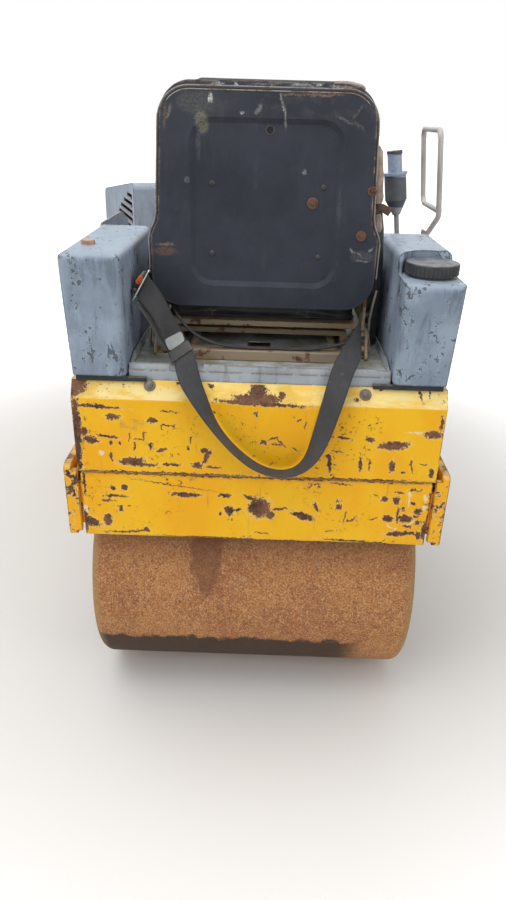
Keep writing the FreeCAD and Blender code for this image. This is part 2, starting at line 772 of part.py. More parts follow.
# Seat tray: a folded sheet between the tanks, open below, with upturned sides and a hole under the seat

TRAY_RISE = 22.0
TRAY_SHEET = 3.0
TRAY_FLANGE = 18.0
TRAY_TO_TANK = 3.0
TRAY_HALF = TANK_INNER - TRAY_TO_TANK
TRAY_TOP = BODY_TOP + TRAY_RISE
TRAY_REAR = -BODY_REAR + BODY_LIP + 5
TRAY_FRONT = 190.0


def make_tray():
    """The tray that carries the seat's frame."""
    tray = block((-TRAY_HALF, TRAY_HALF), (TRAY_REAR, TRAY_FRONT), (BODY_TOP, TRAY_TOP))
    inside = block((-TRAY_HALF + TRAY_SHEET, TRAY_HALF - TRAY_SHEET),
                   (TRAY_REAR + TRAY_SHEET, TRAY_FRONT - TRAY_SHEET), (BODY_TOP - 1, TRAY_TOP - TRAY_SHEET))
    hole = block((-30, 22), (-118, -66), (TRAY_TOP - 10, TRAY_TOP + 10))
    sides = []
    for side in (-1, 1):
        x = sorted((side * TRAY_HALF, side * (TRAY_HALF - TRAY_SHEET)))
        sides.append(side_plate([
            (TRAY_REAR, TRAY_TOP - 1, 0),
            (TRAY_REAR + 8, TRAY_TOP + 4, 3),
            (TRAY_REAR + 60, TRAY_TOP + TRAY_FLANGE, 20),
            (TRAY_FRONT - 30, TRAY_TOP + TRAY_FLANGE, 12),
            (TRAY_FRONT, TRAY_TOP - 1, 0),
        ], x[0], x[1]))
    return fused([tray.cut(inside).cut(hole)] + sides)


NODES["seat_tray"] = make_tray()


# Seat: slide frame, scissor arms, pan, cushions and the stamped back shell

FRAME_HALF = 200.0
FRAME_LOW = TRAY_TOP
CHANNEL_HIGH = 23.0
CHANNEL_DEEP = 32.0
CHANNEL_SHEET = 3.0
CHANNEL_Y = -212.0
CHANNEL_LEFT = -158.0
CHANNEL_RIGHT = 197.0
SEAT_PAN_Z = SEAT_CUSHION_LOW - SOFT_GAP
SEAT_PAN_SHEET = 12.0
SIDE_PLATE = 6.0
SIDE_PLATE_X = SEAT_HALF - 12
RAILS = [
    {"left": -158, "width": 11},
    {"left": 158, "width": 11},
    {"left": 186, "width": 11},
]


def make_channel(x0, x1, y, opens):
    """A folded channel across the seat, open ahead (1) or behind (-1)."""
    web = y if opens > 0 else y + CHANNEL_DEEP
    profile = [
        (web, FRAME_LOW, 3),
        (web, FRAME_LOW + CHANNEL_HIGH, 3),
        (web + opens * CHANNEL_DEEP, FRAME_LOW + CHANNEL_HIGH, 0),
        (web + opens * CHANNEL_DEEP, FRAME_LOW + CHANNEL_HIGH - CHANNEL_SHEET, 0),
        (web + opens * CHANNEL_SHEET, FRAME_LOW + CHANNEL_HIGH - CHANNEL_SHEET, 1),
        (web + opens * CHANNEL_SHEET, FRAME_LOW + CHANNEL_SHEET, 1),
        (web + opens * CHANNEL_DEEP, FRAME_LOW + CHANNEL_SHEET, 0),
        (web + opens * CHANNEL_DEEP, FRAME_LOW, 0),
    ]
    return side_plate(profile, x0, x1)


def make_hanger():
    """The right-hand upright from the tray to the pan, with a round knuckle."""
    x0 = SIDE_PLATE_X
    pan_low = SEAT_PAN_Z - SEAT_PAN_SHEET
    upright = side_plate([
        (-196, FRAME_LOW, 6),
        (-150, pan_low + 8, 12),
        (-112, pan_low + 8, 4),
        (-112, pan_low - 24, 8),
        (-128, FRAME_LOW + 22, 16),
        (-150, FRAME_LOW, 6),
    ], x0 + SIDE_PLATE, x0 + 2 * SIDE_PLATE)
    knuckle = rod(V(x0 - 6, -136, pan_low - 14), RIGHT, 13, 3 * SIDE_PLATE + 6)
    bolt = rod(V(x0 - 4, -166, FRAME_LOW + 20), RIGHT, 8, 3 * SIDE_PLATE + 2)
    return fused([upright, knuckle, bolt])


def make_seat_frame():
    """Slide rails on the tray, a channel across at each end, a bar over them and an upright at each side."""
    pieces = [
        make_channel(CHANNEL_LEFT, CHANNEL_RIGHT, CHANNEL_Y, 1),
        make_channel(-FRAME_HALF, FRAME_HALF, 150, -1),
    ]
    for rail in RAILS:
        x = (rail["left"], rail["left"] + rail["width"])
        pieces.append(block(x, (CHANNEL_Y + 1, 180), (FRAME_LOW, FRAME_LOW + 14)))
    bar_z = FRAME_LOW + 24
    pieces.append(block((-FRAME_HALF, FRAME_HALF - 4), (-82, -58), (bar_z, bar_z + 12)))
    for side in (-1, 1):
        x = sorted((side * (FRAME_HALF - 16), side * (FRAME_HALF - 4)))
        pieces.append(block(x, (-82, -58), (FRAME_LOW, bar_z + 4)))
        x = sorted((side * (FRAME_HALF - 16), side * (SIDE_PLATE_X + SIDE_PLATE + 1)))
        pieces.append(block(x, (-176, 160), (FRAME_LOW, FRAME_LOW + 6)))
    hanger = make_hanger()
    return fused(pieces + [hanger, left_of(hanger)])


def make_scissor():
    """A crossed pair of arms at each side, with a tube across each pivot."""
    low = FRAME_LOW + 14
    high = SEAT_PAN_Z - SEAT_PAN_SHEET
    pieces = []
    for side in (-1, 1):
        for lean, inset in ((1, 36), (-1, 44)):
            points = [
                (-50 * lean + 50, low, 0),
                (-30 * lean + 50, low, 0),
                (65 * lean + 50, high, 0),
                (45 * lean + 50, high, 0),
            ]
            x = sorted((side * (FRAME_HALF - inset), side * (FRAME_HALF - inset + 8)))
            pieces.append(side_plate(points, x[0], x[1]))
    middle = V(-FRAME_HALF + 36, 57, (low + high) / 2)
    pieces.append(rod(middle, RIGHT, 7, 2 * FRAME_HALF - 72))
    return fused(pieces)


def make_pan():
    """The pan under the cushion, with the two side plates that carry the back."""
    top = SEAT_PAN_Z
    low = top - SEAT_PAN_SHEET
    rear = -SEAT_BACK_Y + SEAT_SHELL_DEEP + SOFT_GAP
    pieces = [block((-SIDE_PLATE_X, SIDE_PLATE_X), (rear + 18, SEAT_FRONT - 20), (low, top))]
    for side in (-1, 1):
        x = sorted((side * SIDE_PLATE_X, side * (SIDE_PLATE_X + SIDE_PLATE)))
        pieces.append(side_plate([
            (rear, low, 4),
            (rear, top + 140, 4),
            (rear + 40, top + 140, 12),
            (-20, low + 10, 6),
            (-20, low, 0),
        ], x[0], x[1]))
    return fused(pieces)


def back_outline(inset, corner):
    """The seat back's outline: straight sides that draw in above the waist, with round corners."""
    wide = SEAT_HALF - inset
    narrow = wide - SEAT_NARROWING
    return [
        (-wide, SEAT_BACK_BOTTOM + inset, corner),
        (-wide, SEAT_WAIST_Z, 14),
        (-narrow, SEAT_WAIST_Z + 34, 30),
        (-narrow + 12, SEAT_BACK_TOP - inset, corner),
        (narrow - 12, SEAT_BACK_TOP - inset, corner),
        (narrow, SEAT_WAIST_Z + 34, 30),
        (wide, SEAT_WAIST_Z, 14),
        (wide, SEAT_BACK_BOTTOM + inset, corner),
    ]


def recess_wire(inset, y):
    """The rim of the seat back's stamped recess at one depth."""
    half = SEAT_HALF - SEAT_RECESS_IN - inset
    low = SEAT_BACK_BOTTOM + 44 + inset
    high = SEAT_BACK_TOP - 62 - inset
    corner = 46 - inset
    return rounded_face([
        (-half, low, corner),
        (-half, high, corner),
        (half, high, corner),
        (half, low, corner),
    ], lambda p: V(p.x, y, p.y)).OuterWire


def recess_block(start, stop, grow):
    """The stamped recess as a tapered block between two depths."""
    return Part.makeLoft([recess_wire(-grow, start), recess_wire(10 - grow, stop)], True, True)


def make_back_shell():
    """The stamped steel pan behind the back cushion, with its sunk middle and a hole."""
    rear = -SEAT_BACK_Y
    sheet = SEAT_SHELL_SHEET
    outer = cross_plate(back_outline(0, SEAT_SHELL_CORNER), rear, rear + SEAT_SHELL_DEEP)
    inner = cross_plate(back_outline(sheet, SEAT_SHELL_CORNER - sheet), rear + sheet, rear + SEAT_SHELL_DEEP + 1)
    shell = outer.cut(inner)
    shell = shell.fuse(recess_block(rear + 0.5, rear + SEAT_RECESS + sheet, sheet))
    shell = shell.cut(recess_block(rear - 0.01, rear + SEAT_RECESS, 0))
    hole = rod(V(5, rear - 5, SEAT_BACK_TOP - 83), AHEAD, 6, SEAT_SHELL_DEEP)
    return shell.cut(hole)


def make_back_cushion():
    """The cushion in front of the shell."""
    rear = -SEAT_BACK_Y + SEAT_SHELL_SHEET + SEAT_RECESS + SOFT_GAP
    edge = SEAT_SHELL_SHEET + 0.4
    lip_rear = -SEAT_BACK_Y + SEAT_SHELL_DEEP
    core = cross_plate(back_outline(edge, SEAT_SHELL_CORNER - edge), rear, lip_rear)
    side_gap = 14
    top_half = SEAT_HALF - side_gap - SEAT_NARROWING
    lip = cross_plate([
        (-SEAT_HALF + side_gap, SEAT_BACK_BOTTOM + 60, 40),
        (-SEAT_HALF + side_gap, SEAT_WAIST_Z, 20),
        (-top_half, SEAT_WAIST_Z + 34, 30),
        (-top_half + 8, SEAT_BACK_TOP + 8, 60),
        (top_half - 8, SEAT_BACK_TOP + 8, 60),
        (top_half, SEAT_WAIST_Z + 34, 30),
        (SEAT_HALF - side_gap, SEAT_WAIST_Z, 20),
        (SEAT_HALF - side_gap, SEAT_BACK_BOTTOM + 60, 40),
    ], lip_rear, lip_rear + BACK_CUSHION)
    return fused([core, lip])


NODES["seat_frame"] = make_seat_frame()
NODES["seat_scissor"] = make_scissor()
NODES["seat_pan"] = make_pan()
NODES["seat_back_shell"] = make_back_shell()
NODES["seat_back_cushion"] = make_back_cushion()
NODES["seat_cushion"] = flat_plate([
    (-SEAT_HALF + 13, -SEAT_BACK_Y + 60, 30),
    (-SEAT_HALF + 13, SEAT_FRONT, 60),
    (SEAT_HALF - 13, SEAT_FRONT, 60),
    (SEAT_HALF - 13, -SEAT_BACK_Y + 60, 30),
], SEAT_CUSHION_LOW, SEAT_CUSHION_HIGH)


# Steering console, wheel and travel lever

COLUMN_FOOT_Y = 560.0
CONSOLE_TOP = 980.0
COLUMN_RADIUS = 22.0
WHEEL_HUB_LOW = 25.0
WHEEL_GAP = 0.5
LEVER_TOP = V(302, 150, 1338)
LEVER_FOOT = V(348, 150, 1026)
LEVER_BOOT = 26.0
LEVER_GRIP = 17.0
LEVER_BOX = {"rear": 90, "front": 215, "low": 960, "high": 1034, "inner": 318}


def wheel_axis():
    """The steering column's direction, up and back towards the driver."""
    angle = math.radians(WHEEL_TILT)
    return V(0, -math.sin(angle), math.cos(angle))


def make_console():
    """A tapered box on the floor plate with the column's tube on top."""
    box = side_plate([
        (COLUMN_FOOT_Y - 65, FLOOR_TOP, 0),
        (COLUMN_FOOT_Y - 12, CONSOLE_TOP - 30, 20),
        (COLUMN_FOOT_Y + 80, CONSOLE_TOP, 20),
        (FLOOR_END, FLOOR_TOP, 0),
    ], -75, 75)
    way = wheel_axis()
    centre = V(0, WHEEL_CENTRE_Y, WHEEL_CENTRE_Z)
    tube = rod(centre - way * 250, way, COLUMN_RADIUS, 250 - WHEEL_HUB_LOW - WHEEL_GAP)
    return fused([box, tube])


def make_wheel():
    """Rim, three spokes and hub, on a stub in the column."""
    rim = Part.makeTorus(WHEEL_RADIUS - WHEEL_RIM, WHEEL_RIM, V(0, 0, 0), UP)
    pieces = [rod(V(0, 0, -WHEEL_HUB_LOW), UP, 30, WHEEL_HUB_LOW + 17)]
    for turn in (90, 210, 330):
        spoke = block((20, WHEEL_RADIUS - WHEEL_RIM), (-12, 12), (-3, 3))
        pieces.append(spoke.rotated(V(0, 0, 0), UP, turn))
    wheel = fused([rim] + pieces)
    wheel.rotate(V(0, 0, 0), RIGHT, WHEEL_TILT)
    wheel.translate(V(0, WHEEL_CENTRE_Y, WHEEL_CENTRE_Z))
    return wheel


def make_travel_lever():
    """The travel lever at the driver's right, leaning in from a slotted box on the guard."""
    way = LEVER_TOP - LEVER_FOOT
    length = way.Length
    way.normalize()
    inner = LEVER_BOX["inner"]
    box = side_plate([
        (LEVER_BOX["rear"], LEVER_BOX["low"], 0),
        (LEVER_BOX["rear"], LEVER_BOX["high"], 10),
        (LEVER_BOX["front"] - 20, LEVER_BOX["high"], 10),
        (LEVER_BOX["front"], LEVER_BOX["low"], 6),
    ], inner, BODY_HALF)
    slot = block((LEVER_FOOT.x - 10, LEVER_FOOT.x + 10), (LEVER_BOX["rear"] + 18, LEVER_BOX["front"] - 38),
                 (LEVER_BOX["high"] - 6, LEVER_BOX["high"] + 6))
    post = block((inner, inner + 5), (LEVER_BOX["rear"], LEVER_BOX["rear"] + 60), (BODY_TOP, LEVER_BOX["low"] + 2))
    return fused([
        box.cut(slot),
        post,
        rod(LEVER_FOOT, way, 6, length - 140),
        Part.makeCone(9, LEVER_BOOT, 36, LEVER_TOP - way * 146, way),
        rod(LEVER_TOP - way * 111, way, LEVER_BOOT, 60),
        rod(LEVER_TOP - way * 54, way, LEVER_BOOT + 3, 6),
        rod(LEVER_TOP - way * 50, way, LEVER_GRIP, 44),
        rod(LEVER_TOP - way * 8, way, LEVER_GRIP + 1.5, 8),
    ])


NODES["steering_console"] = make_console()
NODES["steering_wheel"] = make_wheel()
NODES["travel_lever"] = make_travel_lever()


# Front half: deck, engine block, hood and its hinges

def ahead(distance):
    """A place ahead of the steering pin, along the straight machine."""
    return AXLE_TO_PIVOT + distance


DECK_NEAR = ahead(AXLE_TO_PIVOT - BEAM_FAR)
DECK_FAR = ahead(AXLE_TO_PIVOT - SPRINKLER_Y - 30)
HINGE_Y = ahead(AXLE_TO_PIVOT + BODY_REAR - BUMPER_SET_IN - BUMPER_FLANGE / 2)
HINGE_Z = BUMPER_TOP + 40
HINGE_PIN = 7.0
ENGINE_NEAR = HOOD_REAR + 105
ENGINE_FAR = HOOD_REAR + HOOD_LENGTH - 130
ENGINE_BELOW = 77.0
HINGE_HALF = 260.0

NODES["engine_deck"] = swung(block((-ARM_INNER, ARM_INNER), (DECK_NEAR, DECK_FAR), (BEAM_TOP, BEAM_TOP + 8)))
NODES["engine"] = swung(block((-185, 185), (ahead(ENGINE_NEAR), ahead(ENGINE_FAR)),
                               (BEAM_TOP + 8, HOOD_FRONT_TOP - ENGINE_BELOW)))


LOUVRES = 8
LOUVRE_TOP = HOOD_REAR_TOP - 46
LOUVRE_PITCH = 25.0
LOUVRE_SLOT = 12.0
LOUVRE_PROUD = 4.0
LOUVRE_FROM_REAR = 32.0
LOUVRE_FIRST = 95.0
LOUVRE_GAIN = 75.0
LOUVRE_MOST = 300.0
GRILLE_ROWS = (770, 910)
GRILLE_SLOTS = 17
GRILLE_PITCH = 28.0
GRILLE_HEIGHT = 105.0


def make_hood():
    """The sheet hood: sloping top, rounded edges, open below, with slots and hinge straps."""
    near = ahead(HOOD_REAR)
    far = near + HOOD_LENGTH
    outer = side_plate([
        (near, HOOD_BOTTOM, 0),
        (near, HOOD_REAR_TOP, HOOD_EDGE),
        (far - HOOD_FRONT_DROP, HOOD_FRONT_TOP, 45),
        (far, HOOD_BOTTOM, 0),
    ], -HOOD_HALF, HOOD_HALF)
    inner = side_plate([
        (near + HOOD_SHEET, HOOD_BOTTOM - 1, 0),
        (near + HOOD_SHEET, HOOD_REAR_TOP - HOOD_SHEET, HOOD_EDGE - HOOD_SHEET),
        (far - HOOD_FRONT_DROP - HOOD_SHEET, HOOD_FRONT_TOP - HOOD_SHEET, 45 - HOOD_SHEET),
        (far - HOOD_SHEET, HOOD_BOTTOM - 1, 0),
    ], -HOOD_HALF + HOOD_SHEET, HOOD_HALF - HOOD_SHEET)
    hood = outer.cut(inner)
    slots = []
    lips = []
    for index in range(LOUVRES):
        z = LOUVRE_TOP - LOUVRE_PITCH * index
        length = min(LOUVRE_FIRST + LOUVRE_GAIN * index, LOUVRE_MOST)
        y = (near + LOUVRE_FROM_REAR, near + LOUVRE_FROM_REAR + length)
        slots.append(block((-HOOD_HALF - 5, HOOD_HALF + 5), y, (z - LOUVRE_SLOT / 2, z + LOUVRE_SLOT / 2)))
        lip = cross_plate([
            (HOOD_HALF - 1, z - LOUVRE_SLOT / 2 - 4, 0),
            (HOOD_HALF + LOUVRE_PROUD, z - LOUVRE_SLOT / 2 - 1, 1),
            (HOOD_HALF + LOUVRE_PROUD - 1, z - LOUVRE_SLOT / 2 + 2, 0),
            (HOOD_HALF - 1, z - LOUVRE_SLOT / 2, 0),
        ], y[0], y[1])
        lips += [lip, left_of(lip)]
    for z in GRILLE_ROWS:
        for index in range(GRILLE_SLOTS):
            x = (index - (GRILLE_SLOTS - 1) / 2) * GRILLE_PITCH
            slots.append(block((x - 6, x + 6), (far - 70, far + 5), (z, z + GRILLE_HEIGHT)))
    hood = hood.cut(Part.makeCompound(slots)).fuse(lips)
    straps = []
    for side in (-1, 1):
        x = sorted((side * HINGE_HALF, side * (HINGE_HALF + 40)))
        strap = block(x, (far - 6, HINGE_Y), (HINGE_Z - 6, HINGE_Z + 6))
        eye = rod(V(x[0], HINGE_Y, HINGE_Z), RIGHT, 14, 40)
        straps.append(fused([strap, eye]).cut(rod(V(x[0] - 1, HINGE_Y, HINGE_Z), RIGHT, HINGE_PIN + PIN_GAP, 42)))
    return swung(fused([hood] + straps))


def make_hinges():
    """Brackets on the front bumper with the hood's pins."""
    pieces = []
    flange = (HINGE_Y - 14, HINGE_Y + 14)
    for side in (-1, 1):
        middle = side * (HINGE_HALF + 20)
        group = [rod(V(middle - 34, HINGE_Y, HINGE_Z), RIGHT, HINGE_PIN, 68)]
        for x in (middle - 34, middle + 26):
            group.append(side_plate([
                (flange[0], BUMPER_TOP, 0),
                (flange[0], HINGE_Z + 14, 13),
                (flange[1], HINGE_Z + 14, 13),
                (flange[1], BUMPER_TOP, 0),
            ], x, x + 8))
        pieces.append(fused(group))
    return swung(Part.makeCompound(pieces))


def make_rests():
    """Rubber rests for the hood on the arms' ledges."""
    pieces = []
    for side in (-1, 1):
        x = sorted((side * (BODY_HALF - 15), side * (BODY_HALF + 10)))
        for y in (ahead(AXLE_TO_PIVOT - 300), ahead(AXLE_TO_PIVOT + 150)):
            pieces.append(block(x, (y, y + 40), (BODY_BOTTOM, HOOD_BOTTOM - SOFT_GAP)))
    return swung(Part.makeCompound(pieces))


TOW_PLATE = 16.0
TOW_HOLE = 16.0
TOW_REACH = 48.0
TOW_Z = 600.0
TOW_FACE = ahead(AXLE_TO_PIVOT + BODY_REAR - BUMPER_SET_IN)
TOW_HOLE_Y = TOW_FACE + TOW_REACH - 22


def make_tow_lug():
    """The towing and lashing lug on the front bumper, with its pin hole."""
    plate = flat_plate([
        (-50, TOW_FACE, 0),
        (-30, TOW_FACE + TOW_REACH + 10, 24),
        (30, TOW_FACE + TOW_REACH + 10, 24),
        (50, TOW_FACE, 0),
    ], TOW_Z, TOW_Z + TOW_PLATE)
    return swung(plate.cut(rod(V(0, TOW_HOLE_Y, TOW_Z - 1), UP, TOW_HOLE, TOW_PLATE + 2)))


NODES["tow_lug"] = make_tow_lug()
NODES["hood"] = make_hood()
NODES["hood_hinges"] = make_hinges()
NODES["hood_rests"] = make_rests()


# Lap belt: buckle and tongue at the seat's left, webbing, adjuster, and the slack loop behind the body

WEB_WIDTH = 48.0
WEB_THICK = 2.0
TONGUE_PLACE = V(-257, -205, 1083)
TONGUE_WAY = V(-0.37, 0, -0.929)
TONGUE_WIDE = 78.0
TONGUE_DEEP = 26.0
BUCKLE_IN = 4.0
BUCKLE_THICK = 14.0
BUCKLE_WIDE = 52.0
BUCKLE_LONG = 64.0


def make_buckle():
    """The buckle with its tongue, on a stalk from the seat pan's left side plate."""
    tongue_way = V(TONGUE_WAY)
    tongue_way.normalize()
    tongue = Part.makeBox(TONGUE_WIDE, TONGUE_DEEP, 2.4, V(-TONGUE_WIDE / 2, -TONGUE_DEEP / 2, -1.2))
    slot = Part.makeBox(WEB_WIDTH + 2, 7, 4, V(-WEB_WIDTH / 2 - 1, -TONGUE_DEEP / 2 + 4, -2))
    tongue = set_at(tongue.cut(slot), TONGUE_PLACE, tongue_way, AHEAD)
    case = Part.makeBox(BUCKLE_WIDE, BUCKLE_LONG, BUCKLE_THICK, V(-BUCKLE_WIDE / 2, 0, -BUCKLE_THICK / 2))
    case = case.makeFillet(3, case.Edges)
    case = set_at(case, TONGUE_PLACE + AHEAD * (TONGUE_DEEP / 2 - 2) + RIGHT * BUCKLE_IN, tongue_way, AHEAD)
    case_end = TONGUE_PLACE.y + TONGUE_DEEP / 2 - 2 + BUCKLE_LONG
    plate_x = -SIDE_PLATE_X - SIDE_PLATE
    stalk = side_plate([
        (case_end - 6.5, TONGUE_PLACE.z + 20, 4),
        (case_end + 16, TONGUE_PLACE.z + 20, 4),
        (case_end + 36, TONGUE_PLACE.z - 70, 4),
        (case_end + 10, TONGUE_PLACE.z - 70, 4),
    ], plate_x - 14, plate_x)
    return fused([tongue, case, stalk])


NODES["belt_buckle"] = make_buckle()

# The strap from the tongue's slot to the adjuster, then the slack loop from the adjuster, down behind the
# body and up to the right-hand end of the rear channel: middle of the strap and the way across it.
STRAP = [
    {"middle": (-257.5, -212.5, 1083.2), "across": (-0.37, 0.0, -0.93)},
    {"middle": (-253.3, -212.5, 1081.5), "across": (-0.37, 0.0, -0.93)},
    {"middle": (-247.5, -220.5, 1079.2), "across": (-0.40, -0.08, -0.91)},
    {"middle": (-238, -231, 1073), "across": (-0.54, -0.42, -0.73)},
    {"middle": (-221, -240, 1057), "across": (-0.60, -0.64, -0.48)},
    {"middle": (-207, -245, 1037), "across": (-0.56, -0.76, -0.33)},
    {"middle": (-196, -244, 1012), "across": (-0.60, -0.74, -0.31)},
    {"middle": (-186, -238, 987), "across": (-0.72, -0.45, -0.53)},
]
LOOP = [
    {"middle": (-155, -279, 942), "across": (-0.91, -0.22, -0.35)},
    {"middle": (-147, -303, 923), "across": (-0.90, -0.38, -0.20)},
    {"middle": (-137, -320, 904), "across": (-0.79, -0.60, -0.11)},
    {"middle": (-123, -333, 884), "across": (-0.60, -0.79, -0.08)},
    {"middle": (-109, -342, 860), "across": (-0.39, -0.92, -0.08)},
    {"middle": (-90, -344, 827), "across": (-0.15, -0.99, -0.02)},
    {"middle": (-67, -344, 795), "across": (-0.05, -1.00, 0.00)},
    {"middle": (-40, -344, 766), "across": (-0.03, -1.00, 0.00)},
    {"middle": (-10, -344, 741), "across": (-0.02, -1.00, 0.02)},
    {"middle": (20, -344, 726), "across": (0.01, -0.99, 0.10)},
    {"middle": (50, -344, 721), "across": (0.00, -0.99, 0.14)},
    {"middle": (78, -344, 725), "across": (0.00, -0.99, 0.08)},
    {"middle": (101, -343, 741), "across": (0.14, -0.99, -0.07)},
    {"middle": (118, -341, 767), "across": (0.44, -0.89, -0.16)},
    {"middle": (130, -339, 802), "across": (0.66, -0.74, -0.16)},
    {"middle": (141, -335, 842), "across": (0.76, -0.64, -0.13)},
    {"middle": (151, -329, 881), "across": (0.84, -0.53, -0.12)},
    {"middle": (160, -318, 913), "across": (0.90, -0.42, -0.10)},
    {"middle": (169, -301, 940), "across": (0.92, -0.34, -0.18)},
    {"middle": (181, -280, 958), "across": (0.80, -0.36, -0.48)},
    {"middle": (193, -256, 969), "across": (0.52, -0.36, -0.78)},
    {"middle": (203, -231, 983), "across": (0.24, -0.33, -0.91)},
    {"middle": (211, -204, 995), "across": (0.08, -0.35, -0.93)},
    {"middle": (216, -178, 1003), "across": (0.02, -0.25, -0.97)},
    {"middle": (218, -152, 1006), "across": (0.00, -0.12, -0.99)},
]


# The adjuster is a flat sleeve in which the two ends of the webbing meet.
ADJUSTER_PLACE = V(-168, -250, 955)
ADJUSTER_WAY = V(0.50, -0.58, -0.64)
ADJUSTER_WAY.normalize()
ADJUSTER_ACROSS = V(-0.774, -0.098, -0.626)
ADJUSTER_LONG = 16.0
ADJUSTER_WALL = 3.0
ADJUSTER_ROOM = 1.0


def sleeve_station(distance):
    """The strap inside the adjuster, at a distance along it from its middle."""
    face = ADJUSTER_WAY.cross(ADJUSTER_ACROSS)
    face.normalize()
    return (ADJUSTER_PLACE + ADJUSTER_WAY * distance, face.cross(ADJUSTER_WAY), face)


def stations_along(rows, before, after):
    """A station for each row of a belt table, square to the way along the strap there."""
    middles = [before] + [V(*row["middle"]) for row in rows] + [after]
    stations = []
    for index, row in enumerate(rows):
        along = middles[index + 2] - middles[index]
        face = along.cross(V(*row["across"]))
        face.normalize()
        across = face.cross(along)
        across.normalize()
        stations.append((middles[index + 1], across, face))
    return stations


def make_strap():
    """The webbing between the tongue and the adjuster."""
    stations = stations_along(STRAP, V(*STRAP[0]["middle"]), ADJUSTER_PLACE)
    half = ADJUSTER_LONG / 2
    stations += [sleeve_station(-half - 6), sleeve_station(-half + 1), sleeve_station(-0.5)]
    return ribbon(stations, WEB_WIDTH, WEB_THICK)


def make_loop():
    """The slack loop, its strap turned from lying flat behind the tray to standing out from the body."""
    half = ADJUSTER_LONG / 2
    stations = [sleeve_station(0.5), sleeve_station(half - 1), sleeve_station(half + 6)]
    stations += stations_along(LOOP, ADJUSTER_PLACE, V(*LOOP[-1]["middle"]))
    return ribbon(stations, WEB_WIDTH, WEB_THICK)


def make_adjuster():
    """The adjuster sleeve on the webbing."""
    middle, across, face = sleeve_station(0)
    wide = WEB_WIDTH + 2 * ADJUSTER_ROOM
    thick = WEB_THICK + 2 * ADJUSTER_ROOM
    outside = Part.makeBox(wide + 2 * ADJUSTER_WALL, ADJUSTER_LONG, thick + 2 * ADJUSTER_WALL,
                           V(-wide / 2 - ADJUSTER_WALL, -ADJUSTER_LONG / 2, -thick / 2 - ADJUSTER_WALL))
    outside = outside.makeFillet(2, outside.Edges)
    inside = Part.makeBox(wide, ADJUSTER_LONG + 2, thick, V(-wide / 2, -ADJUSTER_LONG / 2 - 1, -thick / 2))
    return set_at(outside.cut(inside), middle, across, face.cross(across))


NODES["belt_strap"] = make_strap()
NODES["belt_loop"] = make_loop()
NODES["belt_adjuster"] = make_adjuster()

# Two thin cables that lie on the rear channel, from the pan's side plate to the right-hand upright.

CABLE_RADIUS = 2.5
CABLE_APART = 7.0
CABLE_ROUTE = [
    {"x": -221.6, "y": -122, "z": 1040},
    {"x": -200, "y": -131, "z": 1034},
    {"x": -184, "y": -164, "z": 1008},
    {"x": -146, "y": -189, "z": 976},
    {"x": -95, "y": -194, "z": 956},
    {"x": -30, "y": -197, "z": 952},
    {"x": 40, "y": -194, "z": 951.8},
    {"x": 108, "y": -196, "z": 952.5},
    {"x": 163, "y": -190, "z": 960},
    {"x": 203, "y": -174, "z": 970},
    {"x": 227.5, "y": -157, "z": 972},
]


def make_cables():
    """The pair of cables, one behind the other."""
    pair = []
    for back in (0, -CABLE_APART):
        pair.append(cord_tube([V(p["x"], p["y"] + back, p["z"]) for p in CABLE_ROUTE], CABLE_RADIUS))
    return Part.makeCompound(pair)


NODES["seat_cables"] = make_cables()


def whole_centre():
    """The middle of everything in plan, so that the origin is under it."""
    whole = Part.makeCompound([shape for shape in NODES.values()])
    box = whole.optimalBoundingBox(False, False)
    return V(-(box.XMin + box.XMax) / 2, -(box.YMin + box.YMax) / 2, 0)


SHIFT = whole_centre()
for node, shape in NODES.items():
    shape.translate(SHIFT)
    shape.exportStep("parts/" + node + ".step")
print("nodes", len(NODES), "shift", round(SHIFT.x, 3), round(SHIFT.y, 3))
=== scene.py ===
import math
import bpy
import bmesh
from mathutils import Matrix, Vector, geometry


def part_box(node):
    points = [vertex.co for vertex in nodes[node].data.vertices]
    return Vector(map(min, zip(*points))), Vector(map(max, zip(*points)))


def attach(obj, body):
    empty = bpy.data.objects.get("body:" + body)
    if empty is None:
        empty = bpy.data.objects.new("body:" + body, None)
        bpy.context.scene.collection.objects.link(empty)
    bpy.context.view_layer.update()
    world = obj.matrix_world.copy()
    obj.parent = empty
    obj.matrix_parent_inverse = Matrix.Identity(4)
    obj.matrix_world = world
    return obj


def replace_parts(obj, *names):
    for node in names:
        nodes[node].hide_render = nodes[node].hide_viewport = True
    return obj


# A worn little tandem roller: paint with rust showing through, a torn seat, a slack lap belt.

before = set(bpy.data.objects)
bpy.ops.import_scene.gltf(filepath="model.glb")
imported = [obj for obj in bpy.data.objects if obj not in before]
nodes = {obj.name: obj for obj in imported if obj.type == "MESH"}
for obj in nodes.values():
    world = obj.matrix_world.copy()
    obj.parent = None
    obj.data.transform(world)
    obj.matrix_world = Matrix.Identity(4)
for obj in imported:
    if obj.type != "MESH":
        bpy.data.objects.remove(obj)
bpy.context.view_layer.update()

# Places are laid out in millimetres from the rear drum's axle, as the frame was.
MM = 0.001
SHIFT = Vector((0.154817, -0.704276, 0.0))
PIN = Vector((0.0, 0.690, 0.0))
SWING = Matrix.Rotation(math.radians(20), 4, "Z")
STRAIGHT = Matrix.Identity(4)


def rear(x, y, z):
    """A place on the rear half."""
    return Vector((x, y, z)) * MM + SHIFT


def front(x, y, z):
    """A place on the front half, laid out straight ahead and swung about the steering pin."""
    return SWING @ (Vector((x, y, z)) * MM - PIN) + PIN + SHIFT


REAR_SET = Matrix.Translation(SHIFT)
FRONT_SET = Matrix.Translation(SHIFT + PIN) @ SWING @ Matrix.Translation(-PIN)


# Camera, lights and floor


